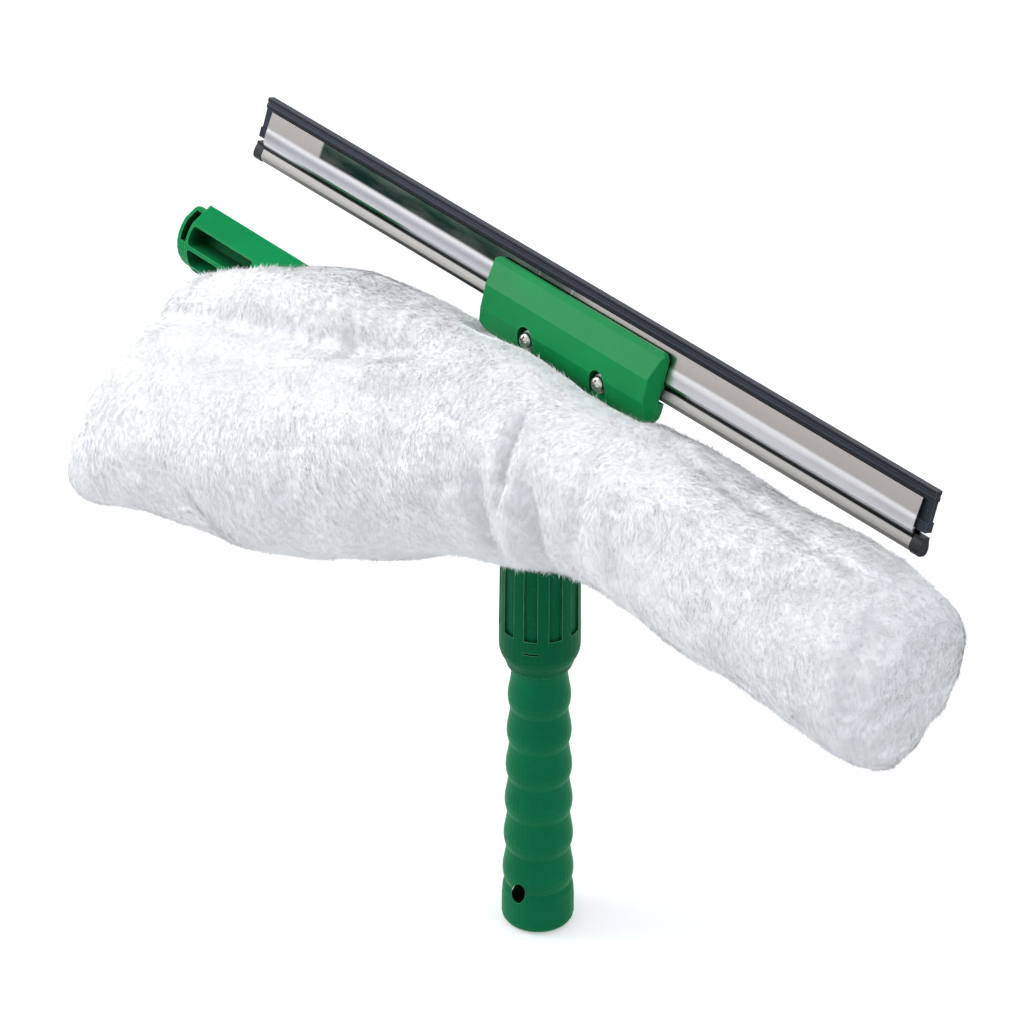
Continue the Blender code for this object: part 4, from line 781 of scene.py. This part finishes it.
    def unevenness(self, points: np.ndarray) -> np.ndarray:
        """Slow lumps in the skin, from waves in seeded directions.

        Args:
            points: Places on the skin.

        Returns:
            How far the surface goes in at each place, in metres.
        """
        rng = np.random.default_rng(self.seed + 1)
        depth = np.zeros(len(points))
        for wave, height, count in self.waves:
            for _ in range(count):
                way = rng.normal(size=3)
                way *= 2.0 * math.pi / wave / np.linalg.norm(way)
                depth += height / math.sqrt(count) * np.sin(points @ way + rng.uniform(0.0, 6.28))
        return depth

    def rooms(self) -> list[bpy.types.Object]:
        """Solids of the rooms that the crossbar, hub, collar and bracket take in the sleeve."""
        made = []
        quarter = math.pi / 2.0
        rooms = ((*self.bar_room, self.height, quarter), (*self.hub_room, 0.0))
        for radius, length, height, turn in rooms:
            deselect()
            bpy.ops.mesh.primitive_cylinder_add(vertices=32, radius=radius, depth=length,
                                                location=(0.0, 0.0, height), rotation=(0.0, turn, 0.0))
            made.append(bpy.context.active_object)
        return made

    def hollow(self, obj: bpy.types.Object) -> None:
        """Cuts the rooms out of the skin."""
        for number, room in enumerate(self.rooms()):
            cut = obj.modifiers.new(f"room_{number}", "BOOLEAN")
            cut.operation = "DIFFERENCE"
            cut.solver = "EXACT"
            cut.object = room
            apply_modifier(obj, cut.name)
            bpy.data.objects.remove(room, do_unlink=True)

    def in_the_way(self, points: np.ndarray) -> np.ndarray:
        """True at each place that the clamp, the channel or a room takes, which the pile keeps out of."""
        local = points - np.array(BLADE_ORIGIN)
        rise, out = local @ np.array(BLADE_RISE), local @ np.array(BLADE_OUT)
        across, back, up = np.abs(points[:, 0]), points[:, 1], points[:, 2]
        half, front, foot = self.clamp_reach
        clamp = (across < half) & (out < front) & (rise > foot)
        front, foot = self.channel_reach
        channel = (rise > foot) & (out < front)
        radius, half = self.bar_reach
        bar = (np.hypot(back, up - self.height) < radius) & (across < half)
        radius, top = self.hub_reach
        hub = (np.hypot(points[:, 0], back) < radius) & (up < top)
        half, front, low, top = self.shelf_reach
        shelf = (across < half) & (back > front) & (up > low) & (up < top)
        return clamp | channel | bar | hub | shelf

    def clear(self, obj: bpy.types.Object) -> None:
        """Presses the skin back from the clamp and the channel's path."""
        points = points_of(obj.data)
        rise_way, out_way = np.array(BLADE_RISE), np.array(BLADE_OUT)
        local = points - np.array(BLADE_ORIGIN)
        rise, out = local @ rise_way, local @ out_way
        half, clamp_front, clamp_foot = self.clamp_reach
        channel_front, channel_foot = self.channel_reach
        at_clamp = np.abs(points[:, 0]) < half + self.clearance
        low = np.where(at_clamp, clamp_foot - self.foot_clearance, channel_foot - self.clearance)
        front = np.where(at_clamp, clamp_front + self.clearance, channel_front + self.clearance)
        inside = (rise > low) & (out < front)
        to_front, to_low = front - out, rise - low
        forward = inside & (to_front < to_low)
        down = inside & ~forward
        points = points + out_way * np.where(forward, to_front, 0.0)[:, None]
        points = points - rise_way * np.where(down, to_low, 0.0)[:, None]
        set_points(obj.data, points)

    def tuft_roots(self, obj: bpy.types.Object, count: int) -> tuple[np.ndarray, np.ndarray]:
        """Picks places on the skin's outside, evenly by area.

        Args:
            obj: The skin.
            count: How many places to pick.

        Returns:
            The places and the skin's normals there.
        """
        mesh = obj.data
        mesh.calc_loop_triangles()
        corners = np.empty(len(mesh.loop_triangles) * 3, dtype=np.int64)
        mesh.loop_triangles.foreach_get("vertices", corners)
        corners = corners.reshape(-1, 3)
        points, normals = points_of(mesh), normals_of(mesh)
        a, b, c = points[corners[:, 0]], points[corners[:, 1]], points[corners[:, 2]]
        area = np.linalg.norm(np.cross(b - a, c - a), axis=1)
        rng = np.random.default_rng(self.seed + 2)
        pick = rng.choice(len(corners), size=count, p=area / area.sum())
        u, v = rng.uniform(size=count), rng.uniform(size=count)
        flip = u + v > 1.0
        u[flip], v[flip] = 1.0 - u[flip], 1.0 - v[flip]
        w = 1.0 - u - v
        root = a[pick] * w[:, None] + b[pick] * u[:, None] + c[pick] * v[:, None]
        normal = normals[corners[pick, 0]] * w[:, None] + normals[corners[pick, 1]] * u[:, None] \
            + normals[corners[pick, 2]] * v[:, None]
        normal /= np.linalg.norm(normal, axis=1, keepdims=True)
        keep = ~self.in_the_way(root + normal * self.tuft_room)
        return root[keep], normal[keep]

    def lie(self, points: np.ndarray) -> np.ndarray:
        """Direction in which the pile is brushed at each place, which turns slowly over the sleeve."""
        rng = np.random.default_rng(self.seed + 3)
        way = np.zeros_like(points)
        for wave, share in self.swirls:
            for _ in range(self.waves_per_swirl):
                k = rng.normal(size=3)
                k *= 2.0 * math.pi / wave / np.linalg.norm(k)
                way += share * rng.normal(size=3) * np.sin(points @ k + rng.uniform(0.0, 6.28))[:, None]
        way[:, 2] -= self.downward
        return way

    def pile_mesh(self, obj: bpy.types.Object) -> bpy.types.Object:
        """Grows the tufts: tapered, three-sided and leaning, gathered into small locks.

        Args:
            obj: The skin that they stand on.

        Returns:
            One object with all the tufts.
        """
        count = self.tufts
        root, normal = self.tuft_roots(obj, count)
        count = len(root)
        rng = np.random.default_rng(self.seed + 4)
        brushed = self.lie(root) + rng.normal(0.0, self.ruffle, root.shape)
        brushed -= normal * np.sum(brushed * normal, axis=1, keepdims=True)
        brushed /= np.maximum(np.linalg.norm(brushed, axis=1, keepdims=True), 1e-6)
        length = rng.uniform(*self.tuft_length, count)[:, None]
        stray = rng.uniform(size=count) < self.stray_share
        high = rng.uniform(*self.stray_lift, count)
        low = rng.uniform(*self.tuft_lift, count)
        lift = np.where(stray, high, low)[:, None]
        tip = root + length * (normal * lift + brushed * np.sqrt(1.0 - lift ** 2))
        locks = count // self.tufts_per_lock
        chosen = rng.choice(count, size=locks, replace=False)
        tree = KDTree(locks)
        for i, which in enumerate(chosen):
            tree.insert(Vector(root[which]), i)
        tree.balance()
        mine = np.array([chosen[tree.find(Vector(p))[1]] for p in root])
        pull = rng.uniform(*self.lock_pull, count)[:, None]
        tip = tip * (1.0 - pull) + tip[mine] * pull
        across = np.cross(normal, brushed)
        across /= np.maximum(np.linalg.norm(across, axis=1, keepdims=True), 1e-6)
        keep = ~(self.in_the_way(tip) | self.in_the_way((root + tip) / 2.0))
        root, normal, tip, across = (a[keep] for a in (root, normal, tip, across))
        count = len(root)
        width = rng.uniform(*self.tuft_width, count)[:, None]
        verts = np.empty((count, 4, 3))
        shading = np.empty((count, 4, 3))
        start = root - normal * self.sunk
        for i, (side, height) in enumerate(self.tuft_section):
            verts[:, i] = start + width * (across * side + normal * height)
            shading[:, i] = normal + across * side * self.tuft_shading
        verts[:, 3] = tip
        shading[:, 3] = normal
        shading /= np.linalg.norm(shading, axis=2, keepdims=True)
        faces = ((0, 1, 3), (1, 2, 3), (2, 0, 3), (2, 1, 0))
        obj = self.tufts_object(verts, faces)
        obj.data.normals_split_custom_set_from_vertices(shading.reshape(-1, 3))
        return obj

    def tufts_object(self, verts: np.ndarray, faces: tuple[tuple[int, ...], ...]) -> bpy.types.Object:
        """Makes one mesh of many tufts that have the same faces.

        Args:
            verts: Points of each tuft.
            faces: Faces of one tuft.

        Returns:
            The object.
        """
        count, per = verts.shape[0], verts.shape[1]
        loops = [i for face in faces for i in face]
        sizes = np.array([len(face) for face in faces])
        loop_index = (np.array(loops)[None, :] + np.arange(count)[:, None] * per).ravel()
        starts = np.concatenate(([0], np.cumsum(np.tile(sizes, count))[:-1]))
        mesh = bpy.data.meshes.new("scrubber_pile")
        mesh.vertices.add(count * per)
        mesh.vertices.foreach_set("co", verts.ravel())
        mesh.loops.add(len(loop_index))
        mesh.loops.foreach_set("vertex_index", loop_index.astype(np.int32))
        mesh.polygons.add(len(starts))
        mesh.polygons.foreach_set("loop_start", starts.astype(np.int32))
        mesh.update(calc_edges=True)
        mesh.shade_smooth()
        reach = mesh.attributes.new("reach", "FLOAT", "POINT")
        tone = np.random.default_rng(self.seed + 5).uniform(*self.tuft_tones, count)
        root_to_tip = np.array((self.skin_tone, self.skin_tone, self.skin_tone, self.tip_tone))
        reach.data.foreach_set("value", (tone[:, None] + root_to_tip).ravel())
        obj = bpy.data.objects.new("scrubber_pile", mesh)
        bpy.context.scene.collection.objects.link(obj)
        return obj

    def build(self) -> bpy.types.Object:
        obj = self.skin()
        self.swell(obj)
        self.crease(obj)
        self.clear(obj)
        obj.data.shade_smooth()
        pile = self.pile_mesh(obj)
        self.hollow(obj)
        level = obj.data.attributes.new("reach", "FLOAT", "POINT")
        level.data.foreach_set("value", np.full(len(obj.data.vertices), self.skin_tone))
        activate(obj)
        pile.select_set(True)
        bpy.ops.object.join()
        material = FleecePile().make()
        obj.data.materials.clear()
        obj.data.materials.append(material)
        obj.data.name = obj.name
        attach(obj, Body.TOOL.value)
        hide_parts("scrubber_sleeve")
        LOG.info("fleece sleeve: %d points", len(obj.data.vertices))
        return obj


@dataclass
class GreenMouldings:
    """The green plastic pieces: grip, T-bar, bracket and front jaw."""

    grip: Colour = linear(0, 108, 69)
    bar: Colour = linear(0, 136, 74)
    # collar is a painted shade: the T-bar takes it below collar_shade_top, for the shade that the sleeve casts
    # there.
    collar: Colour = linear(0, 88, 54)
    collar_shade_top: float = 0.178
    clamp: Colour = linear(0, 136, 70)
    edge: Colour = linear(110, 190, 140)

    def dress(self) -> None:
        """Gives each moulding its finish."""
        finishes = {
            "handle_grip": MouldedPlastic("grip_green", self.grip, self.edge, 0.45, 0.06, 0.0003, 0.1,
                                          rim=0.5),
            "t_bar": MouldedPlastic("bar_green", self.bar, self.edge, 0.42, 0.05, 0.0004, 0.2,
                                    self.collar, self.collar_shade_top, rim=0.2),
            "squeegee_bracket": MouldedPlastic("bracket_green", self.bar, self.edge, 0.42, 0.06, 0.0004, 0.2),
            "clamp_jaw": MouldedPlastic("clamp_green", self.clamp, self.edge, 0.34, 0.15, 0.0005, 0.6),
        }
        for node, finish in finishes.items():
            dress_node(node, finish.make())


@dataclass
class BladeUnit:
    """The blade: stainless channel, rubber and end clips."""

    rubber: Colour = linear(26, 32, 44)
    rubber_bloom: Colour = linear(50, 57, 70)
    rubber_edge: Colour = linear(110, 116, 126)
    # The lower rubber line is a painted shadow under the channel's lip; the upper is a dark stripe higher on
    # the rubber's face.
    rubber_lines: tuple[tuple[float, float], ...] = ((0.0202, 0.0004), (0.0229, 0.00025))
    black: Colour = linear(10, 13, 17)
    black_bloom: Colour = linear(38, 42, 48)
    black_edge: Colour = linear(70, 74, 80)

    def dress(self) -> None:
        """Gives the channel, rubber and clips their finishes."""
        dress_node("squeegee_channel", RolledSteel().make())
        rubber = DarkPolymer("blade_rubber_finish", self.rubber, self.rubber_bloom, self.rubber_edge, 0.42,
                             lines=self.rubber_lines)
        dress_node("squeegee_rubber", rubber.make())
        clips = DarkPolymer("clip_finish", self.black, self.black_bloom, self.black_edge, 0.40, 0.25, 1.0)
        material = clips.make()
        for side in ("left", "right"):
            dress_node(f"channel_clip_{side}", material)


@dataclass
class Fasteners:
    """Screws, washers and nuts."""

    names: tuple[str, ...] = ("bracket_screw", "clamp_nut_left", "clamp_nut_right", "clamp_screw_left",
                              "clamp_screw_right", "clamp_washer_left", "clamp_washer_right")

    def dress(self) -> None:
        """Gives every fastener the zinc finish."""
        material = ZincPlate().make()
        for name in self.names:
            dress_node(name, material)


def dress_node(node: str, material: bpy.types.Material) -> None:
    """Puts a material on the CAD node of that name."""
    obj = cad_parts[node]
    for slot in obj.material_slots:
        slot.material = material
    LOG.info("%s: %s", node, material.name)


@dataclass
class Studio:
    """Floor, lights, surroundings and camera."""

    camera_place: Point = (1.3626341, -1.1694138, 1.3062857)
    azimuth: float = math.radians(49.69)
    elevation: float = math.radians(32.2)
    roll: float = math.radians(0.29)
    lens: float = 210.94
    floor_size: float = 8.0
    floor_shade: float = 0.80
    middle: Point = (0.0, 0.0, 0.18)
    world_light: float = 0.90
    sky: Colour = (0.955, 0.985, 1.035)
    key_place: Point = (-0.9, -0.5, 2.0)
    key_size: float = 1.2
    key_power: float = 7.4
    side_place: Point = (-0.85, -0.65, 0.75)
    side_size: float = 0.6
    side_power: float = 4.6
    key_light: Colour = (1.0, 0.992, 0.975)
    side_light: Colour = (1.0, 0.995, 0.985)
    seen_lift: float = 0.36
    mirrored_lift: float = 0.08

    def camera(self) -> bpy.types.Object:
        """Sets the camera at the photograph's place."""
        back = Vector((math.sin(self.azimuth) * math.cos(self.elevation),
                       -math.cos(self.azimuth) * math.cos(self.elevation), math.sin(self.elevation)))
        side = Vector((math.cos(self.azimuth), math.sin(self.azimuth), 0.0))
        top = back.cross(side)
        right = side * math.cos(self.roll) + top * math.sin(self.roll)
        upright = top * math.cos(self.roll) - side * math.sin(self.roll)
        data = bpy.data.cameras.new("camera")
        data.lens = self.lens
        data.sensor_width = 36.0
        data.clip_end = 30.0
        obj = bpy.data.objects.new("camera", data)
        turn = Matrix((right, upright, back)).transposed().to_4x4()
        obj.matrix_world = Matrix.Translation(self.camera_place) @ turn
        bpy.context.scene.collection.objects.link(obj)
        bpy.context.scene.camera = obj
        return obj

    def lamp(self, name: str, place: Point, size: float, power: float, colour: Colour) -> None:
        """Adds a soft square lamp that faces the middle of the object.

        Args:
            name: Name of the lamp.
            place: Where it stands.
            size: Side of the square.
            power: Power in watts.
            colour: Colour of its light.
        """
        data = bpy.data.lights.new(name, "AREA")
        data.shape = "SQUARE"
        data.size = size
        data.energy = power
        data.color = colour
        obj = bpy.data.objects.new(name, data)
        aim = Vector(self.middle) - Vector(place)
        obj.matrix_world = Matrix.Translation(place) @ aim.to_track_quat("-Z", "Y").to_matrix().to_4x4()
        bpy.context.scene.collection.objects.link(obj)

    def indirect(self, tree: bpy.types.NodeTree, path: bpy.types.Node) -> bpy.types.NodeSocket:
        """1 for a ray that was mirrored or let through, and 0 for any other."""
        rays = (path.outputs["Is Glossy Ray"], path.outputs["Is Transmission Ray"])
        return maths_node(tree, "MAXIMUM", *rays)

    def floor(self) -> None:
        """Adds a pale floor that looks white to the camera and keeps the object's shadow."""
        deselect()
        bpy.ops.mesh.primitive_plane_add(size=self.floor_size, location=(0.0, 0.0, 0.0))
        obj = bpy.context.active_object
        obj.name = "floor"
        material = bpy.data.materials.new("floor_paint")
        material.use_nodes = True
        tree = material.node_tree
        shader = tree.nodes["Principled BSDF"]
        shader.inputs["Base Color"].default_value = (self.floor_shade, self.floor_shade, self.floor_shade, 1.0)
        shader.inputs["Roughness"].default_value = 0.9
        shader.inputs["Specular IOR Level"].default_value = 0.0
        path = tree.nodes.new("ShaderNodeLightPath")
        mirrored = maths_node(tree, "MULTIPLY", self.indirect(tree, path), self.mirrored_lift)
        lift = maths_node(tree, "MULTIPLY_ADD", path.outputs["Is Camera Ray"], self.seen_lift, mirrored)
        shader.inputs["Emission Color"].default_value = (1.0, 1.0, 1.0, 1.0)
        tree.links.new(lift, shader.inputs["Emission Strength"])
        obj.data.materials.append(material)

    def world(self) -> None:
        """Lights the surroundings evenly and shows them white behind the object."""
        world = bpy.data.worlds.new("surroundings")
        world.use_nodes = True
        tree = world.node_tree
        background = tree.nodes["Background"]
        path = tree.nodes.new("ShaderNodeLightPath")
        seen = maths_node(tree, "MAXIMUM", path.outputs["Is Camera Ray"], self.indirect(tree, path))
        tint = tree.nodes.new("ShaderNodeMix")
        tint.data_type = "RGBA"
        tint.inputs[6].default_value = (*self.sky, 1.0)
        tint.inputs[7].default_value = (1.0, 1.0, 1.0, 1.0)
        tree.links.new(seen, tint.inputs["Factor"])
        tree.links.new(tint.outputs[2], background.inputs["Color"])
        strength = tree.nodes.new("ShaderNodeMapRange")
        strength.inputs["To Min"].default_value = self.world_light
        strength.inputs["To Max"].default_value = 1.0
        tree.links.new(seen, strength.inputs["Value"])
        tree.links.new(strength.outputs["Result"], background.inputs["Strength"])
        bpy.context.scene.world = world

    def build(self) -> None:
        """Builds the whole studio."""
        self.camera()
        self.floor()
        self.world()
        self.lamp("key_lamp", self.key_place, self.key_size, self.key_power, self.key_light)
        self.lamp("side_lamp", self.side_place, self.side_size, self.side_power, self.side_light)
        scene = bpy.context.scene
        scene.view_settings.view_transform = "Standard"
        LOG.info("studio set")


def main() -> None:
    logging.basicConfig(level=logging.INFO, format="%(name)s: %(message)s")
    Studio().build()
    GreenMouldings().dress()
    BladeUnit().dress()
    Fasteners().dress()
    WashingSleeve().build()


if __name__ == "__main__":
    main()
